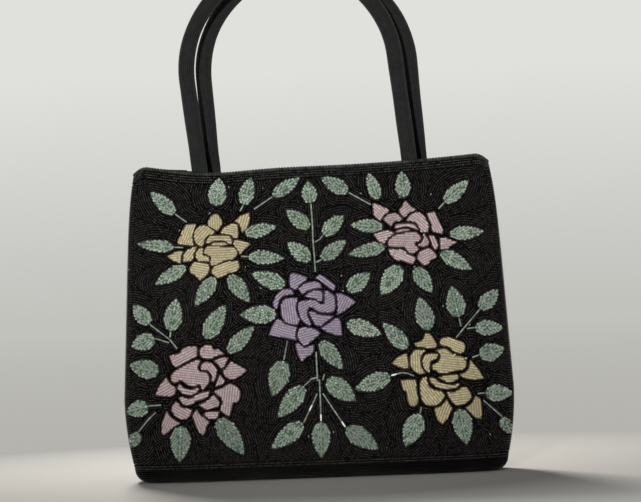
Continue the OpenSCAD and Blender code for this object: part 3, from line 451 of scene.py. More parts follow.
def straight_rows(loop, angle, row_pitch, bead_pitch, margin):
    """Straight rows of beads that fill an outline: places, directions and how near each is to its row's end"""
    c, s = math.cos(angle), math.sin(angle)
    flat = loop @ np.array([[c, -s], [s, c]])
    low, high = flat[:, 1].min(), flat[:, 1].max()
    count = max(1, int(round((high - low) / row_pitch)))
    places, ends = [np.empty((0, 2))], [np.empty(0)]
    for k in range(count):
        level = low + (k + 0.5) / count * (high - low)
        marks = crossings(flat, level)
        for left, right in zip(marks[::2], marks[1::2]):
            span = right - left - 2 * margin
            if span < SHORTEST_ROW:
                continue
            beads = max(1, int(round(span / bead_pitch + ROW_FILL)))
            at = (left + right) / 2 + ((np.arange(beads) + 0.5) / beads - 0.5) * span
            places.append(np.column_stack([at, np.full(beads, level)]))
            ends.append(np.minimum(np.arange(beads), np.arange(beads)[::-1]))
    flat = np.vstack(places) @ np.array([[c, s], [-s, c]])
    return flat, np.tile([c, s], (len(flat), 1)), np.concatenate(ends)


def main_angle(loop):
    """Direction of the long way of an outline"""
    pts = even_points(loop, OUTLINE_STEP)
    low = pts - pts.mean(0)
    vectors = np.linalg.eigh(low.T @ low)[1]
    return math.atan2(vectors[1, 1], vectors[0, 1])


def clipped(loop, normal, level):
    """The part of an outline where normal times place is above a level"""
    over = loop @ normal - level
    line = []
    for i in range(len(loop)):
        j = (i + 1) % len(loop)
        if over[i] >= 0:
            line.append(loop[i])
        if (over[i] >= 0) != (over[j] >= 0):
            line.append(loop[i] + (loop[j] - loop[i]) * over[i] / (over[i] - over[j]))
    return np.array(line)


def tree_of(points):
    """A search tree of places on the flat cloth"""
    tree = KDTree(len(points))
    for i, (x, y) in enumerate(points):
        tree.insert((x, y, 0), i)
    tree.balance()
    return tree


def nearest(tree, points):
    """Distance from each place to the nearest one of a tree"""
    return np.array([tree.find((x, y, 0))[2] for x, y in points])


class Stencil:
    """The area that the motifs take up on the flat cloth, and the distance to their outlines"""
    cell = 0.25
    left = -165.0
    wide = 1320
    high = 860
    mark_step = 0.3

    def __init__(self, loops):
        self.mask = np.zeros((self.high, self.wide), bool)
        for loop in loops:
            self.fill(loop)
        self.tree = tree_of(np.vstack([even_points(loop, self.mark_step) for loop in loops]))

    def fill(self, loop):
        """Marks the inside of an outline"""
        low, high = loop[:, 1].min() / self.cell, loop[:, 1].max() / self.cell
        for row in range(max(0, int(low)), min(self.high, int(high) + 1)):
            marks = (crossings(loop, (row + 0.5) * self.cell) - self.left) / self.cell
            for a, b in zip(marks[::2], marks[1::2]):
                self.mask[row, int(round(a)):int(round(b))] = True

    def inside(self, pts):
        """True where a place is on a motif"""
        i = np.clip((pts[:, 1] / self.cell).astype(int), 0, self.high - 1)
        j = np.clip(((pts[:, 0] - self.left) / self.cell).astype(int), 0, self.wide - 1)
        return self.mask[i, j]

    def clear(self, pts, away):
        """True where a place is off the motifs and further than a distance from their outlines"""
        return ~self.inside(pts) & (nearest(self.tree, pts) > away)


class Taken:
    """Places that already hold a bead, so that no two beads share one"""
    cell = 1.6

    def __init__(self):
        self.cells = {}

    def spot(self, x, y):
        """The cell that a place lies in"""
        return int(x // self.cell), int(y // self.cell)

    def add(self, x, y):
        """Takes a place"""
        self.cells.setdefault(self.spot(x, y), []).append((x, y))

    def near(self, x, y, room):
        """True where a taken place is nearer than the room that a bead needs"""
        i, j = self.spot(x, y)
        return any((u - x) ** 2 + (v - y) ** 2 < room * room
                   for a in (i - 1, i, i + 1) for b in (j - 1, j, j + 1) for u, v in self.cells.get((a, b), ()))

    def keep(self, pts, room):
        """Which places have room, each taken as it is kept"""
        kept = np.zeros(len(pts), bool)
        for i, (x, y) in enumerate(pts):
            if not self.near(x, y, room):
                self.add(x, y)
                kept[i] = True
        return kept


RANDOM_START = 17
drawing = {}


def beadwork():
    """The drawing of the front on the flat cloth, made once: outlines of petals, leaves and stems"""
    if not drawing:
        for key, nodes in (("petals", ROSES), ("leaves", LEAVES)):
            drawing[key] = {node: [softened(loop) for loop in pad_outlines(node)] for node in nodes}
        drawing["stems"] = pad_outlines("stems")
        drawing["taken"] = Taken()
        drawing["random"] = np.random.default_rng(RANDOM_START)
        petals, leaves = (sum(drawing[key].values(), []) for key in ("petals", "leaves"))
        drawing["petal_loops"], drawing["other_loops"] = petals, leaves + drawing["stems"]
        drawing["stencil"] = Stencil(petals + drawing["other_loops"])
        drawing["petal_stencil"] = Stencil(petals)
    return drawing


# Modelled once, copied many times

ON_AXIS = 1e-4
# Distance of a bead's rings from its middle, as a share of its length
ROUND_RINGS = 0.26
RIM_RINGS = 0.3
BUGLE_RINGS = 0.45
BEAD_SQUARE = 0.6


def deselect():
    """Leaves nothing selected, in object mode"""
    if bpy.context.object and bpy.context.object.mode != "OBJECT":
        bpy.ops.object.mode_set(mode="OBJECT")
    bpy.ops.object.select_all(action="DESELECT")


def open_piece(obj):
    """Opens one piece for editing, all of it selected"""
    deselect()
    bpy.context.view_layer.objects.active = obj
    obj.select_set(True)
    bpy.ops.object.mode_set(mode="EDIT")
    bpy.ops.mesh.select_all(action="SELECT")


def close_piece():
    """Turns the faces of the piece being edited outwards and closes it"""
    bpy.ops.mesh.select_all(action="SELECT")
    bpy.ops.mesh.normals_make_consistent(inside=False)
    bpy.ops.object.mode_set(mode="OBJECT")


def pull_tip(test, away):
    """In edit mode, moves the corner on the axis whose height passes a test"""
    bpy.ops.mesh.select_mode(type="VERT")
    bm = bmesh.from_edit_mesh(bpy.context.object.data)
    for vert in bm.verts:
        vert.select = abs(vert.co.x) + abs(vert.co.y) < ON_AXIS and test(vert.co.z)
    bm.select_flush_mode()
    bmesh.update_edit_mesh(bpy.context.object.data)
    bpy.ops.transform.translate(value=(0, 0, away))


def model_seed():
    """A seed bead with 12 faces along X, one long and one wide: corners and faces"""
    deselect()
    bpy.ops.mesh.primitive_cone_add(vertices=6, radius1=0.5, radius2=0, depth=0.5, end_fill_type="TRIFAN",
                                    location=(0, 0, 0.25))
    bpy.ops.object.transform_apply(location=True, rotation=True, scale=True)
    bpy.ops.object.mode_set(mode="EDIT")
    pull_tip(lambda z: z < 0.1, -0.5)
    return as_template()


def model_bead(ring_at):
    """A rounder bead with 24 faces along X, its two rings at a share of its length"""
    deselect()
    bpy.ops.mesh.primitive_cylinder_add(vertices=6, radius=0.5, depth=2 * ring_at, end_fill_type="TRIFAN")
    bpy.ops.object.mode_set(mode="EDIT")
    for side in (-1, 1):
        pull_tip(lambda z: z * side > 0, side * (0.5 - ring_at))
    return as_template()


def as_template():
    """Takes the modelled bead off the scene, turned to lie along X, all in triangles"""
    bpy.ops.mesh.select_all(action="SELECT")
    bpy.ops.mesh.quads_convert_to_tris()
    close_piece()
    obj = bpy.context.object
    corners = np.array([(v.co.z, v.co.x, v.co.y) for v in obj.data.vertices])
    faces = np.array([tuple(p.vertices) for p in obj.data.polygons])
    bpy.data.objects.remove(obj)
    return corners, faces


def new_piece(name, verts, faces, scale=MM):
    """A mesh object at the origin with its place in its mesh"""
    mesh = bpy.data.meshes.new(name)
    mesh.from_pydata((verts * scale).tolist(), [], faces)
    obj = bpy.data.objects.new(name, mesh)
    bpy.context.collection.objects.link(obj)
    return obj


def string_beads(name, template, beads, long, wide, tints, material):
    """One piece of many beads: the template copied to each place, with its tint and its own square of the map"""
    at, along, out = beads
    corners, faces = template
    count, each = len(at), len(corners)
    across = np.cross(out, along)
    long = np.broadcast_to(np.asarray(long, float), count)
    wide = np.broadcast_to(np.asarray(wide, float), count)
    verts = (at[:, None, :] + corners[None, :, 0:1] * (long[:, None] * along)[:, None, :]
             + corners[None, :, 1:2] * (wide[:, None] * across)[:, None, :]
             + corners[None, :, 2:3] * (wide[:, None] * out)[:, None, :])
    every = (faces[None] + (np.arange(count) * each)[:, None, None]).reshape(-1, 3)
    obj = new_piece(name, verts.reshape(-1, 3), every.tolist())
    mesh = obj.data
    mesh.polygons.foreach_set("use_smooth", np.ones(len(mesh.polygons), bool))
    layer = mesh.color_attributes.new("tint", "FLOAT_COLOR", "POINT")
    rgba = np.column_stack([tints, np.ones(count)])
    layer.data.foreach_set("color", np.repeat(rgba, each, axis=0).ravel())
    side = int(math.ceil(math.sqrt(count)))
    cell = np.column_stack([np.arange(count) % side, np.arange(count) // side])
    flat = (cell[:, None, :] + 0.5 + corners[None, :, :2] * BEAD_SQUARE) / side
    loop_verts = np.empty(len(mesh.loops), np.int32)
    mesh.loops.foreach_get("vertex_index", loop_verts)
    uv = mesh.uv_layers.new(name="OFBake")
    uv.data.foreach_set("uv", flat.reshape(-1, 2)[loop_verts].ravel())
    mesh.materials.append(material)
    mesh.update()
    return obj


def joined(parts):
    """Bead frames put together"""
    return tuple(np.vstack([part[k] for part in parts]) for k in range(3))


def varied(colour_value, count, spread, rng):
    """A tint for each bead, a little lighter or darker than the colour"""
    return np.clip(colour_value * (1 + spread * rng.standard_normal((count, 1))), 0, 1)


def dress(obj, node):
    """Rides on the body and stands for a CAD node"""
    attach(obj, "root")
    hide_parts(node)


# Materials

# Roughness, mirror and coat of each kind of glass
GLASS = {"rose_beads": (0.3, 0.45, 0.15), "leaf_beads": (0.35, 0.4, 0.1), "bugle_beads": (0.16, 0.6, 0.4),
         "ground_glass": (0.16, 0.25, 0.0), "rim_glass": (0.4, 0.1, 0.0)}
# Threads across and along, roughness, depth in metres and shine of each cloth
WEAVES = {"bead_cloth": (120, 90, 0.9, 0.0001, 0.0), "lining_cloth": (150, 110, 0.75, 0.00008, 0.2),
          "handle_cloth": (7, 90, 0.85, 0.0005, 0.2)}


def fresh_material(name):
    """A new material: itself, its nodes and its shader"""
    material = bpy.data.materials.new(name)
    material.use_nodes = True
    tree = material.node_tree
    return material, tree, tree.nodes["Principled BSDF"]


def plug(tree, node, sockets):
    """Links an output to a node's socket, or writes a number or a colour on it"""
    for key, value in sockets.items():
        if isinstance(value, bpy.types.NodeSocket):
            tree.links.new(value, node.inputs[key])
        else:
            node.inputs[key].default_value = value


def add_node(tree, kind, sockets=None, **settings):
    """A node with its settings and its sockets filled"""
    node = tree.nodes.new(kind)
    for key, value in settings.items():
        setattr(node, key, value)
    plug(tree, node, sockets or {})
    return node


def combined(tree, operation, one, other):
    """Two values put together"""
    return add_node(tree, "ShaderNodeMath", {0: one, 1: other}, operation=operation).outputs[0]


def ramp(tree, low, high, source, out_low=0.0, out_high=1.0):
    """Maps a value from one range to another"""
    sockets = {"Value": source, "From Min": low, "From Max": high, "To Min": out_low, "To Max": out_high}
    return add_node(tree, "ShaderNodeMapRange", sockets).outputs["Result"]


def place_of(tree, key):
    """A place on the piece, by the name of its coordinates"""
    return add_node(tree, "ShaderNodeTexCoord").outputs[key]


def speckle(tree, **sockets):
    """Fine noise fixed to the piece"""
    return add_node(tree, "ShaderNodeTexNoise", {"Vector": place_of(tree, "Object"), **sockets}).outputs["Fac"]


def blended(tree, factor, one, other):
    """A colour between two"""
    sockets = {"A": (*one, 1), "B": (*np.clip(other, 0, 1), 1), "Factor": factor}
    return add_node(tree, "ShaderNodeMix", sockets, data_type="RGBA").outputs["Result"]


def glass_beads(name):
    """Glass beads: each bead's own tint, with a polish that differs from place to place"""
    material, tree, shader = fresh_material(name)
    rough, mirror, coat = GLASS[name]
    tint = add_node(tree, "ShaderNodeAttribute", attribute_name="tint")
    polish = ramp(tree, 0.35, 0.65, speckle(tree, Scale=420.0, Detail=1.0), rough * 0.7, rough * 1.35)
    plug(tree, shader, {"Base Color": tint.outputs["Color"], "Roughness": polish, "Specular IOR Level": mirror,
                        "Coat Weight": coat, "Coat Roughness": 0.12})
    return material


def woven_cloth(name, colour_value):
    """Woven cloth on the piece's map: threads both ways, and a colour that follows the weave's height, darker in
    its low parts and lighter on its high parts: painted shade and light in the weave, with a soft noise mottle
    """
    material, tree, shader = fresh_material(name)
    across, along, rough, depth, shine = WEAVES[name]
    waves = []
    for direction, scale in (("X", across), ("Y", along)):
        sockets = {"Vector": place_of(tree, "UV"), "Scale": scale, "Distortion": 0.6, "Detail": 1.0}
        wave = add_node(tree, "ShaderNodeTexWave", sockets, bands_direction=direction, wave_profile="SIN")
        waves.append(wave.outputs["Fac"])
    threads = combined(tree, "MULTIPLY", *waves)
    height = combined(tree, "ADD", threads, speckle(tree, Scale=260.0, Detail=3.0, Roughness=0.7))
    bump = add_node(tree, "ShaderNodeBump", {"Strength": 0.5, "Distance": depth, "Height": height})
    # Colour darker where the weave is low and lighter where it stands high: painted shade and light, with noise
    mottle = blended(tree, ramp(tree, 0.3, 1.4, height), colour_value * 0.3, colour_value * 2.1)
    plug(tree, shader, {"Base Color": mottle, "Normal": bump.outputs["Normal"], "Roughness": rough,
                        "Specular IOR Level": shine, "Sheen Weight": shine * 0.4, "Sheen Roughness": 0.5})
    return material


def felted(name, colour_value):
    """Felt: short mottled fibres"""
    material, tree, shader = fresh_material(name)
    mottle = blended(tree, speckle(tree, Scale=900.0, Detail=2.0), colour_value * 0.7, colour_value * 1.3)
    plug(tree, shader, {"Base Color": mottle, "Roughness": 0.9, "Specular IOR Level": 0.1})
    return material


# Cloth laid over the body

# Painted shade: the cloth under the beads is the black cloth darkened, so the gaps between beads read dark
CLOTH_PAINTED_SHADE = 0.2


def lay_grid(name, columns, rows, place, closed=False):
    """A grid of cloth whose corners are laid by place(u, v), u and v from 0 to 1"""
    deselect()
    bpy.ops.mesh.primitive_grid_add(x_subdivisions=columns, y_subdivisions=rows, size=1.0)
    obj = bpy.context.object
    obj.name = obj.data.name = name
    mesh = obj.data
    co = np.empty(len(mesh.vertices) * 3)
    mesh.vertices.foreach_get("co", co)
    co = co.reshape(-1, 3)
    mesh.vertices.foreach_set("co", (place(co[:, 0] + 0.5, co[:, 1] + 0.5) * MM).ravel())
    mesh.update()
    if closed:
        open_piece(obj)
        bpy.ops.mesh.remove_doubles(threshold=2 * MERGE)
        close_piece()
    bpy.ops.object.shade_smooth()
    return obj


def sew_in(obj, thick, material, node):
    """Gives cloth its thickness, inwards, and its finish"""
    solid = obj.modifiers.new("thickness", "SOLIDIFY")
    solid.thickness = thick * MM
    solid.offset = -1
    bpy.context.view_layer.objects.active = obj
    bpy.ops.object.modifier_apply(modifier=solid.name)
    obj.data.materials.append(material)
    dress(obj, node)


def walk_at(q):
    """Place on the walk along one face, at a place on the way all round: q from 0 to 4 from the left side"""
    return np.where(q - 1 > 1, 3 - q, q - 1)


def rim_round(q):
    """Height of the rim at a place on the way all round"""
    return rim(share(walk_at(q)))


def round_body(q, z_of, inset, z):
    """Places on the section at a height, on the way all round"""
    face = np.where(q > 2, 1, -1)
    f = share(walk_at(q))
    return np.column_stack([(half_w(z_of) - inset) * f, face * (half_d(z_of) - inset) * bow(f),
                            np.broadcast_to(z, f.shape)])


class BAG_OT_cloth(bpy.types.Operator):
    """Lays the black cloth that carries the beads: front, back and base"""
    bl_idname = "bag.cloth"
    bl_label = "Cloth"

    def execute(self, context):
        sink = sizes()["cloth_sink"]
        # The black cloth darkened under the beads: painted shade in the gaps
        material = woven_cloth("bead_cloth", colours()["cloth"] * CLOTH_PAINTED_SHADE)
        for name, start, node in (("front_cloth", 0, "front_panel"), ("back_cloth", 2, "back_panel")):
            def place(u, v, start=start):
                q = start + 2 * u
                z = SEAM_Z + v * (rim_round(q) - SEAM_Z)
                return round_body(q, z, sink, z)
            sew_in(lay_grid(name, 96, 48, place), SHELL_T - sink, material, node)

        def tray(u, v):
            turn = np.clip((v - 0.5) * 2, 0, 1) * np.pi / 2
            inset = SEAM_Z - (SEAM_Z - sink) * np.sin(turn)
            z = SEAM_Z - (SEAM_Z - sink) * np.cos(turn)
            pts = round_body(4 * u, SEAM_Z, inset, z)
            pts[:, :2] *= np.clip(v * 2, 0, 1)[:, None]
            return pts
        sew_in(lay_grid("base_cloth", 128, 24, tray, closed=True), SHELL_T - sink, material, "base_panel")
        return {"FINISHED"}


def felt_pads(name, loops, size, material, node):
    """Felt pads drawn flat, cut finer, given their thickness and laid on the body"""
    starts = np.cumsum([0] + [len(loop) for loop in loops]).tolist()
    faces = [list(range(first, end)) for first, end in zip(starts, starts[1:])]
    flat = np.vstack(loops)
    obj = new_piece(name, np.column_stack([flat, np.zeros(len(flat))]), faces, 1)
    open_piece(obj)
    bpy.ops.mesh.quads_convert_to_tris()
    bpy.ops.mesh.subdivide(number_cuts=1)
    bpy.ops.mesh.extrude_region_move(TRANSFORM_OT_translate={"value": (0, 0, -1)})
    bpy.ops.mesh.select_all(action="SELECT")
    bpy.ops.mesh.normals_make_consistent(inside=False)
    bpy.ops.mesh.quads_convert_to_tris()
    bpy.ops.object.mode_set(mode="OBJECT")
    mesh = obj.data
    co = np.array([tuple(v.co) for v in mesh.vertices])
    laid = on_wall(co[:, :2], np.where(co[:, 2] < -0.5, -size["cloth_sink"], size["felt_rise"]))
    mesh.vertices.foreach_set("co", (laid * MM).ravel())
    mesh.materials.append(material)
    mesh.update()
    dress(obj, node)


BROAD_PETAL = 1.75
PETAL_MARGIN = 0.1
NARROW_IN = 0.75
NARROW_CLEAR = 0.66
FINE_STEP = 0.35
PETAL_ROOM = 1.1
PETAL_FELT = 0.55
PETAL_STEP = 0.25
PETAL_LONG = 1.04
PETAL_WIDE = 0.9
PETAL_SHIFT = 0.06
PETAL_SPREAD = 0.11
LINE_GAP = 0.05
LINE_CLEAR = 0.4
LINE_SPREAD = 0.25
LINE_ROOM = 0.75
LINE_PITCH = 1.2
LINE_LONG = 1.35
LINE_DROP = 0.6


def petal_rows(loop, size):
    """Rows of beads in a petal: straight along a broad one, following the edges of a narrow one"""
    around = lengths_along(np.vstack([loop, loop[:1]]))[-1]
    if twice_area(loop) / around > BROAD_PETAL:
        return straight_rows(loop, main_angle(loop), size["row_pitch"], size["bead_pitch"], PETAL_MARGIN)[:2]
    inner = offset_line(loop, -NARROW_IN, FINE_STEP)
    away = nearest(tree_of(even_points(loop, PETAL_STEP)), inner)
    return rows_of(inner, away > NARROW_CLEAR, size["bead_pitch"], longest=1.0)


class BAG_OT_roses(bpy.types.Operator):
    """Fills the petals of the five roses with rows of beads and draws a dark row round each petal"""
    bl_idname = "bag.roses"
    bl_label = "Roses"

    def execute(self, context):
        size, tint, work = sizes(), colours(), beadwork()
        rng, taken, stencil = work["random"], work["taken"], work["petal_stencil"]
        bead = model_bead(ROUND_RINGS)
        glass = glass_beads("rose_beads")
        line_wide = size["line_wide"]
        for node, key in ROSES.items():
            felt = felted(node + "_felt", tint[key] * PETAL_FELT)
            felt_pads(node + "_felt", work["petals"][node], size, felt, node)
            parts, tints, edges, darks = [], [], [], []
            for loop in work["petals"][node]:
                place, way = petal_rows(loop, size)
                kept = taken.keep(place, PETAL_ROOM)
                if kept.any():
                    parts.append(frames(place[kept], way[kept], size["motif_rise"]))
                    base = tint[key] * (1 + PETAL_SHIFT * rng.standard_normal())
                    tints.append(varied(base, int(kept.sum()), PETAL_SPREAD, rng))
            for loop in work["petals"][node]:
                line = offset_line(loop, line_wide / 2 + LINE_GAP, FINE_STEP)
                place, way = rows_of(line, stencil.clear(line, line_wide * LINE_CLEAR), LINE_PITCH, LINE_PITCH)
                kept = taken.keep(place, LINE_ROOM)
                if kept.any():
                    edges.append(frames(place[kept], way[kept], size["motif_rise"] - LINE_DROP))
                    darks.append(varied(tint[key + "_line"], int(kept.sum()), LINE_SPREAD, rng))
            counts = [sum(len(part[0]) for part in group) for group in (parts, edges)]
            wide = np.repeat([size["bead_wide"] * PETAL_WIDE, line_wide], counts)
            long = np.repeat([size["bead_long"] * PETAL_LONG, LINE_LONG], counts)
            obj = string_beads(node + "_beads", bead, joined(parts + edges), long, wide,
                               np.vstack(tints + darks), glass)
            dress(obj, node)
        return {"FINISHED"}


LEAF_SLANT = math.radians(26)
LEAF_ROOM = 1.12
LEAF_STEP = 0.5
LEAF_LONG = 0.95
LEAF_WIDE = 1.08
LEAF_SHIFT = 0.08
LEAF_SPREAD = 0.1
FOOT_GAP = 0.2
TIP_GAP = 0.9
MIDDLE_GAP = 0.45
SIDE_CLOSE = 0.95
LEAF_STRAY = 0.12
LEAF_TURN = 0.5
LEAF_EDGE = 0.8
DARK_SHARE = 0.08
BRIGHT_SHARE = 0.04
BRIGHT_GAIN = 1.35


def leaf_rows(loop, size):
    """Rows of beads in a leaf: a middle row (2), and slanting rows (0) on both sides of it with their ends (1)"""
    gaps = np.linalg.norm(loop[:, None] - loop[None], axis=2)
    i, j = np.unravel_index(int(np.argmax(gaps)), gaps.shape)
    middle = even_points(loop, LEAF_STEP).mean(0)
    foot, tip = sorted((loop[i], loop[j]), key=lambda end: np.linalg.norm(end - middle))
    axis = (tip - foot) / np.linalg.norm(tip - foot)
    side = np.array([-axis[1], axis[0]])
    angle = math.atan2(axis[1], axis[0])
    pitch, step = size["row_pitch"], size["bead_pitch"]
    place, way = spaced(np.array([foot + axis * FOOT_GAP, tip - axis * TIP_GAP]), step)
    places, ways, kinds = [place], [way], [np.full(len(place), 2)]
    for turn in (1, -1):
        part = clipped(loop, side * turn, float(foot @ side) * turn + pitch * MIDDLE_GAP)
        if len(part) < 3:
            continue
        place, way, ends = straight_rows(part, angle + turn * LEAF_SLANT, pitch * SIDE_CLOSE, step, 0.0)
        if len(place):
            places.append(place)
            ways.append(way)
            kinds.append(((np.abs((place - foot) @ side) > LEAF_EDGE) & (ends == 0)).astype(int))
    return np.vstack(places), np.vstack(ways), np.concatenate(kinds)


class BAG_OT_leaves(bpy.types.Operator):
    """Fills the leaves with slanting rows of green beads, paler along the edges"""
    bl_idname = "bag.leaves"
    bl_label = "Leaves"

    def execute(self, context):
        size, tint, work = sizes(), colours(), beadwork()
        rng, taken = work["random"], work["taken"]
        bead = model_bead(ROUND_RINGS)
        glass = glass_beads("leaf_beads")
        felt = felted("leaf_felt", tint["leaf_dark"])
        tones = np.array([tint["leaf"], tint["leaf_pale"], tint["leaf"]])
        for node in LEAVES:
            felt_pads(node + "_felt", work["leaves"][node], size, felt, node)
            parts, tints = [], []
            for loop in work["leaves"][node]:
                place, way, kind = leaf_rows(loop, size)
                kept = taken.keep(place, LEAF_ROOM)
                place, way, kind = place[kept], way[kept], kind[kept]
                count = len(kind)
                place = place + LEAF_STRAY * rng.standard_normal((count, 2))
                way = unit(way + LEAF_TURN * rng.standard_normal(way.shape))
                parts.append(frames(place, way, size["motif_rise"] + LEAF_STRAY * rng.standard_normal(count)))
                mixed = tones[kind] * (1 + LEAF_SHIFT * rng.standard_normal())
                mixed[rng.random(count) < DARK_SHARE] = tint["leaf_dark"]
                mixed[rng.random(count) < BRIGHT_SHARE] = tint["leaf_pale"] * BRIGHT_GAIN
                tints.append(varied(mixed, count, LEAF_SPREAD, rng))
            obj = string_beads(node + "_beads", bead, joined(parts), size["bead_long"] * LEAF_LONG,
                               size["bead_wide"] * LEAF_WIDE, np.vstack(tints), glass)
            dress(obj, node)
        return {"FINISHED"}


# Places on the flat cloth of silver-lined stem beads given a near-white tint: painted glints
PAINTED_GLINTS = ((-5, 48), (0.5, 42), (18, 32), (50, 66.5))
STEM_REACH = 0.7
STEM_ROOM = 2.4
STEM_POINTS = 12
STEM_DROP = 0.1
STEM_SPREAD = 0.14
BUGLE_LAP = 0.1
TAKEN_STEP = 0.9
TAKEN_MORE = 0.1


def between(line, count):
    """Places at a number of even steps along an open line"""
    return places_at(line, np.linspace(0, lengths_along(line)[-1], count))


def stem_line(loop):
    """Middle line of a stem from its narrow outline, carried on at both ends"""
    count = len(loop)
    edges = np.linalg.norm(np.roll(loop, -1, axis=0) - loop, axis=1)
    pairs = [(edges[i] + edges[j], i, j) for i in range(count) for j in range(i + 2, count) if (j + 1) % count != i]
    _, i, j = min(pairs)
    one, other = loop[i + 1:j + 1], np.vstack([loop[j + 1:], loop[:i + 1]])
    line = (between(one, STEM_POINTS) + between(other, STEM_POINTS)[::-1]) / 2
    ends = unit(line[[0, -1]] - line[[1, -2]]) * STEM_REACH
    return np.vstack([line[0] + ends[0], line, line[-1] + ends[1]])


class BAG_OT_stems(bpy.types.Operator):
    """Strings the long beads of the stems end to end"""
    bl_idname = "bag.stems"
    bl_label = "Stems"

    def execute(self, context):
        size, tint, work = sizes(), colours(), beadwork()
        rng, taken = work["random"], work["taken"]
        places, ways, spans = [], [], []
        for loop in work["stems"]:
            line = stem_line(loop)
            place, way = spaced(line, size["bugle_long"])
            sewn = np.vstack([np.empty((0, 2)), *places])
            alone = np.array([not (np.linalg.norm(sewn - one, axis=1) < STEM_ROOM).any() for one in place])
            places.append(place[alone])
            ways.append(way[alone])
            spans.append(np.full(int(alone.sum()), lengths_along(line)[-1] / len(place) + BUGLE_LAP))
        place, way, span = np.vstack(places), np.vstack(ways), np.concatenate(spans)
        for (x, y), (u, v), reach in zip(place, way, span):
            for step in np.arange(-reach / 2, reach / 2 + TAKEN_MORE, TAKEN_STEP):
                taken.add(x + u * step, y + v * step)
        tints = varied(tint["stem"], len(place), STEM_SPREAD, rng)
        # The beads nearest the glint places turn near-white: painted glints
        for glint in PAINTED_GLINTS:
            tints[int(np.argmin(((place - glint) ** 2).sum(1)))] = tint["glint"]
        beads = frames(place, way, size["motif_rise"] - STEM_DROP)
        obj = string_beads("stem_beads", model_bead(BUGLE_RINGS), beads, span, size["bugle_wide"], tints,
                           glass_beads("bugle_beads"))
        dress(obj, "stems")
        return {"FINISHED"}


SIDE_SHARE = 0.965
RIM_ROWS = 3
BASE_ROWS = 2
ECHO_ROWS = 30
GROUND_ROOM = 1.18
SPARE_ROOM = 1.4
MOTIF_ROOM = 0.75
ROW_STEP = 0.4
SPARE_STEP = 0.8
SPARE_HALF = 150
# First rows under the rim and over the seam, and where the echo rows end, in rows
RIM_FIRST = 0.55
SEAM_FIRST = 0.45
RIM_CLEAR = 0.3
SEAM_CLEAR = 0.2
ECHO_FIRST = 0.8
ECHO_SLACK = 0.07
ECHO_SIDE = 1
SIDE_START = 0.5
# Painted sheen: the ground rows under the rim and the rim beads are tinted lighter and a little greener
RIM_PAINTED_SHEEN = np.array((1.4, 1.75, 1.65))
# Painted highlight: the rows over the base seam are tinted lighter
SEAM_PAINTED_SHEEN = 1.35
# Painted shade: the beads of the base are tinted far darker than the black beads of the ground
BASE_PAINTED_SHADE = 0.12
GROUND_SPREAD = 0.42
# Painted glints: a few ground beads, at random, take the glint tint dimmed
PAINTED_SPARKLES = 0.002
PAINTED_SPARKLE_DIM = 0.3


def ground_beads(size, work):
    """Places and directions of the black beads of the front, in the order they are sewn"""
    taken, stencil = work["taken"], work["stencil"]
    pitch, step = size["row_pitch"], size["bead_pitch"]
    places, ways = [], []

    def sew(place, way, room=GROUND_ROOM):
        kept = taken.keep(place, room)
        places.append(place[kept])
        ways.append(way[kept])

    f = share(np.linspace(-1, 1, 1400))
    levels = [rim(f) - (k + RIM_FIRST) * pitch for k in range(RIM_ROWS)]
    levels += [np.full(f.shape, SEAM_Z + (k + SEAM_FIRST) * pitch) for k in range(BASE_ROWS)]
    for z in levels:
        line = np.column_stack([drawn(f * half_w(z), z), z])
        sew(*rows_of(line, stencil.clear(line, MOTIF_ROOM), step, longest=2.0))
    low, high = SEAM_Z + (BASE_ROWS + SEAM_CLEAR) * pitch, (RIM_ROWS + RIM_CLEAR) * pitch
    for k in range(ECHO_ROWS):
        away = ECHO_FIRST + k * pitch
        for loop in (work["other_loops"] if k == 0 else work["petal_loops"] + work["other_loops"]):
            line = offset_line(loop, away, ROW_STEP)
            z = np.clip(line[:, 1], SEAM_Z, RIM_H)
            f = share_at(line[:, 0], z)
            good = (np.abs(f) < SIDE_SHARE) & (line[:, 1] > low) & (line[:, 1] < rim(f) - high)
            good &= np.abs(line[:, 0]) < half_girth(z) - ECHO_SIDE
            if good.any():
                good[good] = stencil.clear(line[good], away - ECHO_SLACK)
                sew(*rows_of(line, good, step, longest=1.2))
    for k in range(int((RIM_H - low) / pitch)):
        z = low + (k + 0.5) * pitch
        for side in (-1, 1):
            start = float(drawn(np.array([SIDE_SHARE * half_w(z)]), np.array([z]))[0])
            along = np.arange(start + SIDE_START, float(half_girth(z)), ROW_STEP) * side
            line = np.column_stack([along, np.full(len(along), z)])
            top = rim(share_at(line[:, 0], line[:, 1])) - high
            sew(*rows_of(line, (line[:, 1] < top) & stencil.clear(line, MOTIF_ROOM), step, longest=1.0))
    along, up = np.meshgrid(np.arange(-SPARE_HALF, SPARE_HALF, SPARE_STEP), np.arange(low, RIM_H, SPARE_STEP))
    grid = np.column_stack([along.ravel(), up.ravel()])
    top = rim(share_at(grid[:, 0], grid[:, 1])) - high
    good = (np.abs(grid[:, 0]) < half_girth(grid[:, 1]) - SPARE_STEP) & (grid[:, 1] < top)
    spare = grid[good & ~stencil.inside(grid)]
    sew(spare, np.tile([1.0, 0.0], (len(spare), 1)), SPARE_ROOM)
    return np.vstack(places), np.vstack(ways)


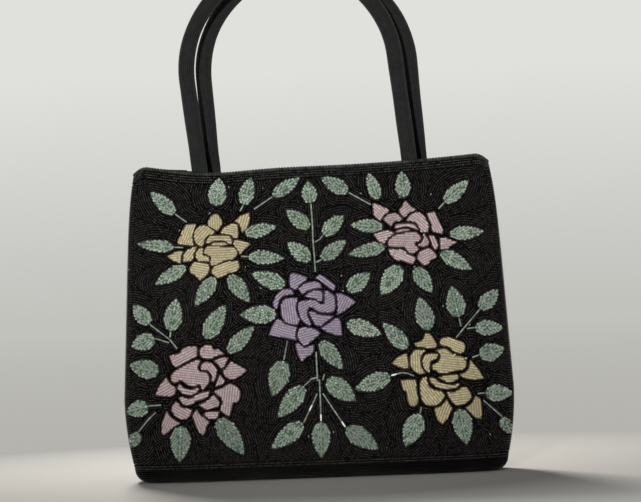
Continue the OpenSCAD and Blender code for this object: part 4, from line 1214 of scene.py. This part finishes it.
class BAG_OT_ground(bpy.types.Operator):
    """Sews the black ground of the front in rows that echo the outlines of the motifs"""
    bl_idname = "bag.ground"
    bl_label = "Ground"

    def execute(self, context):
        size, tint, work = sizes(), colours(), beadwork()
        rng = work["random"]
        place, way = ground_beads(size, work)
        tints = varied(tint["ground"], len(place), GROUND_SPREAD, rng)
        z = place[:, 1]
        by_rim = z > rim(share_at(place[:, 0], z)) - RIM_ROWS * size["row_pitch"]
        by_seam = z < SEAM_Z + BASE_ROWS * size["row_pitch"]
        # Painted sparkles: scattered ground beads tinted as glints
        tints[(rng.random(len(place)) < PAINTED_SPARKLES) & ~by_rim & ~by_seam] = tint["glint"] * PAINTED_SPARKLE_DIM
        # Painted sheen on the rows under the rim
        tints[by_rim] *= RIM_PAINTED_SHEEN
        # Painted highlight on the rows over the base seam
        tints[by_seam] *= SEAM_PAINTED_SHEEN
        obj = string_beads("front_beads", model_seed(), frames(place, way, -size["bead_sink"]), size["ground_long"],
                           size["ground_wide"], tints, glass_beads("ground_glass"))
        dress(obj, "front_panel")
        return {"FINISHED"}


BACK_SIDE = 0.4
BACK_TOP = 0.5
FLAT_SIDE = 0.8
RING_FIRST = 0.3
BASE_SPREAD = 0.3


def ring_beads(line, pitch):
    """Beads at even steps round a closed line: places and directions"""
    run = lengths_along(line)[-1]
    count = int(run / pitch)
    pts = places_at(line, np.arange(count) / count * run)
    return pts, unit(np.roll(pts, -1, axis=0) - np.roll(pts, 1, axis=0))


def base_rows(pitch, step, sink):
    """Beads of the base: rings round its rounded edge, and straight rows on its flat"""
    parts = []
    radius = SEAM_Z - sink
    rings = int(radius * math.pi / 2 / pitch)
    around = np.linspace(0, 4, 2400)
    for k in range(rings + 1):
        turn = (k + RING_FIRST) / (rings + 2 * RING_FIRST) * math.pi / 2
        line = round_body(around, SEAM_Z, SEAM_Z - radius * math.sin(turn), SEAM_Z - radius * math.cos(turn))
        pts, ahead = ring_beads(line, step)
        out = np.column_stack([ahead[:, 1], -ahead[:, 0], np.zeros(len(pts))]) * math.sin(turn)
        out[:, 2] = -math.cos(turn)
        parts.append((pts, ahead, out))
    widest, depth, _ = round_body(around, SEAM_Z, SEAM_Z, 0.0).max(0)
    for k in range(int(2 * depth / pitch)):
        y = -depth + (k + 0.5) * pitch
        f = (1 - min(1, abs(y) / depth) ** SECTION_POWER) ** (1 / SECTION_POWER)
        x = np.arange(FLAT_SIDE - f * widest, f * widest - FLAT_SIDE, step)
        parts.append((np.column_stack([x, np.full(len(x), y), np.full(len(x), sink)]),
                      np.tile([1.0, 0, 0], (len(x), 1)), np.tile([0, 0, -1.0], (len(x), 1))))
    return joined(parts)


class BAG_OT_back(bpy.types.Operator):
    """Sews the plain back and the base in straight rows"""
    bl_idname = "bag.back"
    bl_label = "Back and Base"

    def execute(self, context):
        size, tint, rng = sizes(), colours(), beadwork()["random"]
        pitch, step, sink = size["row_pitch"], size["bead_pitch"], size["bead_sink"]
        long, wide = size["ground_long"], size["ground_wide"]
        glass = bpy.data.materials["ground_glass"]
        seed = model_seed()
        rows = []
        for k in range(int((RIM_H - SEAM_Z) / pitch)):
            z = SEAM_Z + (k + SEAM_FIRST) * pitch
            reach = float(half_girth(z))
            along = np.arange(-reach + BACK_SIDE, reach, step) + (k % 2) * step / 2
            line = np.column_stack([along, np.full(len(along), z)])
            rows.append(line[line[:, 1] < rim(share_at(along, line[:, 1])) - BACK_TOP])
        half = len(rows) // 2
        for name, part in (("back_beads_low", rows[:half]), ("back_beads_high", rows[half:])):
            flat = np.vstack(part)
            beads = frames(flat, np.tile([1.0, 0.0], (len(flat), 1)), -sink, face=1)
            tints = varied(tint["ground"], len(flat), GROUND_SPREAD, rng)
            dress(string_beads(name, seed, beads, long, wide, tints, glass), "back_panel")
        beads = base_rows(pitch, step, sink)
        # The base beads take the ground's tint darkened: painted shade on the underside
        tints = varied(tint["ground"] * BASE_PAINTED_SHADE, len(beads[0]), BASE_SPREAD, rng)
        obj = string_beads("base_beads", seed, beads, long, min(wide, 2 * sink), tints, glass)
        dress(obj, "base_panel")
        return {"FINISHED"}


RIM_PITCH = 0.8
RIM_LONG = 0.95
RIM_SPREAD = 0.25


class BAG_OT_rim(bpy.types.Operator):
    """Strings the larger beads along the top edge"""
    bl_idname = "bag.rim"
    bl_label = "Rim Beads"

    def execute(self, context):
        bead = sizes()["rim_bead"]
        q = np.linspace(0, 4, 4001)
        z = rim_round(q)
        pts, ahead = ring_beads(round_body(q, z, SHELL_T / 2, z + bead / 2), bead * RIM_PITCH)
        out = upright(np.tile([0.0, 0.0, 1.0], (len(pts), 1)), ahead)
        # The rim beads take the ground's tint made lighter: painted sheen
        tints = varied(colours()["ground"] * RIM_PAINTED_SHEEN, len(pts), RIM_SPREAD, beadwork()["random"])
        obj = string_beads("rim_beads", model_bead(RIM_RINGS), (pts, ahead, out), bead * RIM_LONG, bead, tints,
                           glass_beads("rim_glass"))
        dress(obj, "rim_edging")
        return {"FINISHED"}


LINING_FLOOR_Z = 5.0
LINING_WALL_Z = SEAM_Z + 3.0
LINING_GAP = 1.5
LINING_T = 0.7
FLOOR_IN = 0.4
FLOOR_SHARE = 0.2
HEM_FOLD = 0.7
HEM_SHADE = 0.8
HEM_SMOOTH = math.radians(50)


def ripple(q, z):
    """Soft slack of the lining, in mm inwards"""
    return 0.7 + 0.5 * np.sin(q * 9.4 + 0.03 * z) * np.sin(z * 0.045 + 1.3) + 0.35 * np.sin(q * 21 + z * 0.08)


def sack(u, v):
    """The lining: a floor, then walls with a little slack"""
    q = 4 * u
    flat = v <= FLOOR_SHARE
    climb = np.clip((v - FLOOR_SHARE) / (1 - FLOOR_SHARE), 0, 1)
    top = rim_round(q) - LINING_GAP
    z = np.where(flat, LINING_FLOOR_Z, LINING_WALL_Z + climb * (top - LINING_WALL_Z))
    slack = ripple(q * np.pi / 2, z) * np.clip(np.sin(np.pi * climb), 0, None) ** 0.5
    pts = round_body(q, np.where(flat, SEAM_Z, z), np.where(flat, SEAM_Z + FLOOR_IN, LINING_IN + slack), z)
    pts[:, :2] *= np.where(flat, np.clip(v / FLOOR_SHARE, 0, 1), 1.0)[:, None]
    return pts


class BAG_OT_lining(bpy.types.Operator):
    """Makes the lining sack and the hem turned in at the rim"""
    bl_idname = "bag.lining"
    bl_label = "Lining"

    def execute(self, context):
        tint = colours()
        material = woven_cloth("lining_cloth", tint["lining"])
        sew_in(lay_grid("lining_sack", 160, 60, sack, closed=True), LINING_T, material, "lining")

        tape = bpy.data.objects.new("hem_tape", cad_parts["rim_hem"].data.copy())
        bpy.context.collection.objects.link(tape)
        open_piece(tape)
        bpy.ops.mesh.remove_doubles(threshold=MERGE)
        bpy.ops.mesh.tris_convert_to_quads()
        bpy.ops.object.mode_set(mode="OBJECT")
        bevel = tape.modifiers.new("fold", "BEVEL")
        bevel.width, bevel.segments, bevel.limit_method = HEM_FOLD * MM, 3, "ANGLE"
        bpy.ops.object.modifier_apply(modifier=bevel.name)
        bpy.ops.object.shade_smooth_by_angle(angle=HEM_SMOOTH)
        tape.data.materials.clear()
        tape.data.materials.append(felted("hem_cloth", tint["cloth"] * HEM_SHADE))
        dress(tape, "rim_hem")
        return {"FINISHED"}


# Name, shift to the right in mm and lean in degrees
HANDLES = (("handle_front", -4.0, 6.0), ("handle_back", 3.5, 3.5))
FLAT_T = 2.2
FLAT_RISE = 3.2
FLARE_H = 13
LUMP = 0.14
SEAM_DENT = 0.05
SEAM_SPREAD = 0.02


class BAG_OT_handles(bpy.types.Operator):
    """Makes the two padded cloth handles with their ends pressed flat"""
    bl_idname = "bag.handles"
    bl_label = "Handles"

    def execute(self, context):
        size = sizes()
        material = woven_cloth("handle_cloth", colours()["cloth"])
        radius, thick = size["handle_span"] / 2, size["handle_d"] / 2
        leg, tuck = size["handle_leg"], size["handle_tuck"]
        rim_z = float(rim(np.array(size["handle_span"] / RIM_W)))
        for name, shift, lean in HANDLES:
            tilt = math.radians(lean)
            low, high = box_mm(name + "_cover")
            y = (low[1] + high[1]) / 2
            feet = radius * math.tan(tilt), -radius * math.tan(tilt)
            reach = (leg - feet[0] + tuck, math.pi * radius, leg - feet[1] + tuck)

            def tube(u, v):
                run = v * sum(reach)
                left = np.clip(run, 0, reach[0])
                turn = np.clip(run - reach[0], 0, reach[1]) / radius
                right = np.clip(run - reach[0] - reach[1], 0, reach[2])
                arch = (turn > 0) & (turn < math.pi)
                up = np.where(run < reach[0] + reach[1], feet[0] - tuck + left, leg - right)
                x = -radius * np.cos(turn)
                z = np.where(arch, leg + radius * np.sin(turn), up)
                over = np.where(turn < math.pi / 2, up - feet[0], up - feet[1]) - FLAT_RISE
                flare = np.where(arch, 1.0, np.clip(over / FLARE_H, 0, 1))
                flare = flare * flare * (3 - 2 * flare)
                thin = FLAT_T / 2 + (thick - FLAT_T / 2) * flare
                lump = LUMP * np.sin(run * 0.11 + 1.0) * np.sin(run * 0.043) * flare
                angle = 2 * np.pi * u
                seam = 1 - SEAM_DENT * flare * np.exp(-((u - 0.5) / SEAM_SPREAD) ** 2)
                across, out = np.cos(angle) * (thick + lump) * seam, np.sin(angle) * (thin + lump) * seam
                x = x - across * np.where(turn > 0, np.cos(turn), 1.0)
                z = z + across * np.where(turn > 0, np.sin(turn), 0.0)
                return np.column_stack([shift + x * math.cos(tilt) - z * math.sin(tilt), y + out,
                                        rim_z + x * math.sin(tilt) + z * math.cos(tilt)])
            obj = lay_grid(name + "_tube", 28, 220, tube, closed=True)
            open_piece(obj)
            bpy.ops.mesh.select_all(action="DESELECT")
            bpy.ops.mesh.select_mode(type="EDGE")
            bpy.ops.mesh.select_non_manifold(extend=False)
            bpy.ops.mesh.fill_holes(sides=0)
            close_piece()
            obj.data.materials.append(material)
            dress(obj, name + "_cover")
        return {"FINISHED"}


# Finish, colour, roughness, metal, fineness and the nodes that get it
FITTINGS = (
    ("card", (150, 145, 132), 0.85, 0.0, 180.0, ("front_stiffener", "back_stiffener", "base_board")),
    ("cotton_cord", (214, 208, 192), 0.9, 0.0, 500.0, ("handle_front_cord", "handle_back_cord")),
    ("snap_steel", (190, 190, 194), 0.3, 1.0, 900.0, ("snap_socket", "snap_stud")))


class BAG_OT_fittings(bpy.types.Operator):
    """Gives the pieces inside their finish: card, cord and the steel snap"""
    bl_idname = "bag.fittings"
    bl_label = "Fittings"

    def execute(self, context):
        for name, seen, rough, metal, scale, nodes in FITTINGS:
            material, tree, shader = fresh_material(name)
            base = np.array(tone(*seen))
            grain = speckle(tree, Scale=scale, Detail=4.0, Roughness=0.6)
            plug(tree, shader, {"Base Color": blended(tree, grain, base * 0.8, base * 1.15), "Metallic": metal,
                                "Roughness": ramp(tree, 0.3, 0.7, grain, rough * 0.85, min(1.0, rough * 1.2))})
            for node in nodes:
                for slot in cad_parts[node].material_slots:
                    slot.link = "OBJECT"
                    slot.material = material
        return {"FINISHED"}


CAMERA_FAR = 2.0
CAMERA_AIM = (0.0043, 0.149)
CAMERA_ROLL = 2.1
LENS = 169.0
SENSOR = 36.0
SIGHT = 50.0
# Height of a line of sight, and the backdrop's colour there: darker low down and lighter higher up, a painted
# falloff of the light
BACKDROP = ((-0.02, (194, 194, 189)), (0.0, (200, 201, 196)), (0.06, (224, 225, 221)))
# Painted shade: the floor's glow is darker near the bag and grows lighter further off
NEAR_FLOOR_PAINTED_SHADE = (180, 179, 174)
FLOOR_R = 6.0
FLOOR_Z = -0.0002
SHADOW_ROOM = (0.16, 0.42)
FLOOR_FADE = (0.4, 4.0)
BEHIND = (-0.3, 0.3)
ROOM_LIGHT = 0.11
ROOM_TINT = (0.95, 0.97, 1.0, 1)
SPOT_CONE = math.radians(17)
# Name, kind, place, aim, size, watts and colour
LAMPS = (("front", "SPOT", (-0.3, -2.2, 0.42), (0, 0, 0.21), 0.06, 208.0, (1.0, 0.97, 0.94)),
         ("overhead", "AREA", (-0.3, 0.9, 0.9), (-0.05, 0, 0), 0.35, 20.0, (1.0, 0.98, 0.95)))


def part_of(tree, vector, key):
    """One of a vector's three numbers"""
    return add_node(tree, "ShaderNodeSeparateXYZ", {0: vector}).outputs[key]


def seen_rays(tree, vector):
    """One for rays that look straight at the floor or the backdrop, or see them behind the bag in glass or metal"""
    rays = add_node(tree, "ShaderNodeLightPath").outputs
    mirrored = combined(tree, "MAXIMUM", rays["Is Glossy Ray"], rays["Is Transmission Ray"])
    behind = combined(tree, "MULTIPLY", mirrored, ramp(tree, *BEHIND, part_of(tree, vector, "Y")))
    return combined(tree, "MAXIMUM", rays["Is Camera Ray"], behind)


def show_instead(tree, factor, lit, seen, target):
    """Lets some rays see one shader and the rest another"""
    blend = add_node(tree, "ShaderNodeMixShader", {"Fac": factor, 1: lit.outputs[0], 2: seen.outputs[0]})
    plug(tree, tree.nodes[target], {"Surface": blend.outputs[0]})


class BAG_OT_stage(bpy.types.Operator):
    """Sets the floor, the backdrop, the lamps and the camera"""
    bl_idname = "bag.stage"
    bl_label = "Stage"

    def execute(self, context):
        scene = context.scene
        scene.view_settings.view_transform = "Standard"
        deselect()
        bpy.ops.mesh.primitive_circle_add(vertices=96, radius=FLOOR_R, fill_type="NGON", location=(0, 0, FLOOR_Z))
        bpy.ops.object.transform_apply(location=True, rotation=True, scale=True)
        floor = context.object
        floor.name = "floor"
        material, tree, shader = fresh_material("floor_paper")
        plug(tree, shader, {"Base Color": (*colours()["paper"], 1), "Roughness": 0.9, "Specular IOR Level": 0.1})
        place = place_of(tree, "Object")
        span = add_node(tree, "ShaderNodeVectorMath", {0: place}, operation="LENGTH").outputs["Value"]
        fade = combined(tree, "MULTIPLY", ramp(tree, *SHADOW_ROOM, span), seen_rays(tree, place))
        # The glow of the far floor is darker near the bag: painted shade
        paper = blended(tree, ramp(tree, *FLOOR_FADE, span), tone(*NEAR_FLOOR_PAINTED_SHADE), tone(*BACKDROP[0][1]))
        glow = add_node(tree, "ShaderNodeEmission", {"Color": paper})
        show_instead(tree, fade, shader, glow, "Material Output")
        floor.data.materials.append(material)

        world = bpy.data.worlds.new("studio")
        scene.world = world
        world.use_nodes = True
        tree = world.node_tree
        light = tree.nodes["Background"]
        plug(tree, light, {"Color": ROOM_TINT, "Strength": ROOM_LIGHT})
        place = place_of(tree, "Generated")
        low, high = BACKDROP[0][0], BACKDROP[-1][0]
        # The backdrop grows lighter with height: painted light falloff
        tones = add_node(tree, "ShaderNodeValToRGB", {"Fac": ramp(tree, low, high, part_of(tree, place, "Z"))})
        stops = tones.color_ramp.elements
        stops.new(0.5)
        for stop, (height, value) in zip(stops, BACKDROP):
            stop.position = (height - low) / (high - low)
            stop.color = (*tone(*value), 1)
        seen = add_node(tree, "ShaderNodeBackground", {"Color": tones.outputs["Color"]})
        show_instead(tree, seen_rays(tree, place), light, seen, "World Output")

        for name, kind, place, aim, wide, power, warmth in LAMPS:
            data = bpy.data.lights.new(name, kind)
            data.energy, data.color = power, warmth
            if kind == "SPOT":
                data.shadow_soft_size, data.spot_size, data.spot_blend = wide, SPOT_CONE, 1.0
            else:
                data.size = wide
            lamp = bpy.data.objects.new(name, data)
            scene.collection.objects.link(lamp)
            lamp.location = place
            lamp.visible_glossy = kind == "SPOT"
            way = np.array(aim) - np.array(place)
            lamp.rotation_euler = (math.atan2(math.hypot(way[0], way[1]), -way[2]), 0,
                                   math.atan2(way[1], way[0]) - math.pi / 2)

        lens = bpy.data.cameras.new("camera")
        lens.lens, lens.sensor_width, lens.clip_end = LENS, SENSOR, SIGHT
        camera = bpy.data.objects.new("camera", lens)
        scene.collection.objects.link(camera)
        camera.location = (CAMERA_AIM[0], -CAMERA_FAR, CAMERA_AIM[1])
        camera.rotation_euler = (math.pi / 2, math.radians(CAMERA_ROLL), 0)
        scene.camera = camera
        return {"FINISHED"}


OPERATORS = (BAG_OT_stage, BAG_OT_cloth, BAG_OT_roses, BAG_OT_leaves, BAG_OT_stems, BAG_OT_ground, BAG_OT_back,
             BAG_OT_rim, BAG_OT_lining, BAG_OT_handles, BAG_OT_fittings)


class BAG_PT_panel(bpy.types.Panel):
    """Lists the bag's sizes, colours and pieces"""
    bl_idname = "BAG_PT_panel"
    bl_label = "Beaded Bag"
    bl_space_type = "VIEW_3D"
    bl_region_type = "UI"
    bl_category = "Beaded Bag"

    def draw(self, context):
        layout = self.layout
        for group in (context.scene.bag_sizes, context.scene.bag_colours):
            box = layout.box()
            for key in group.__annotations__:
                box.prop(group, key)
        for operator in OPERATORS:
            layout.operator(operator.bl_idname)


CLASSES = (BagSizes, BagColours, *OPERATORS, BAG_PT_panel)


def register():
    for cls in CLASSES:
        bpy.utils.register_class(cls)
    bpy.types.Scene.bag_sizes = bpy.props.PointerProperty(type=BagSizes)
    bpy.types.Scene.bag_colours = bpy.props.PointerProperty(type=BagColours)


def unregister():
    del bpy.types.Scene.bag_colours
    del bpy.types.Scene.bag_sizes
    for cls in reversed(CLASSES):
        bpy.utils.unregister_class(cls)


def main():
    register()
    for operator in OPERATORS:
        group, name = operator.bl_idname.split(".")
        getattr(getattr(bpy.ops, group), name)()


if __name__ == "__main__":
    main()
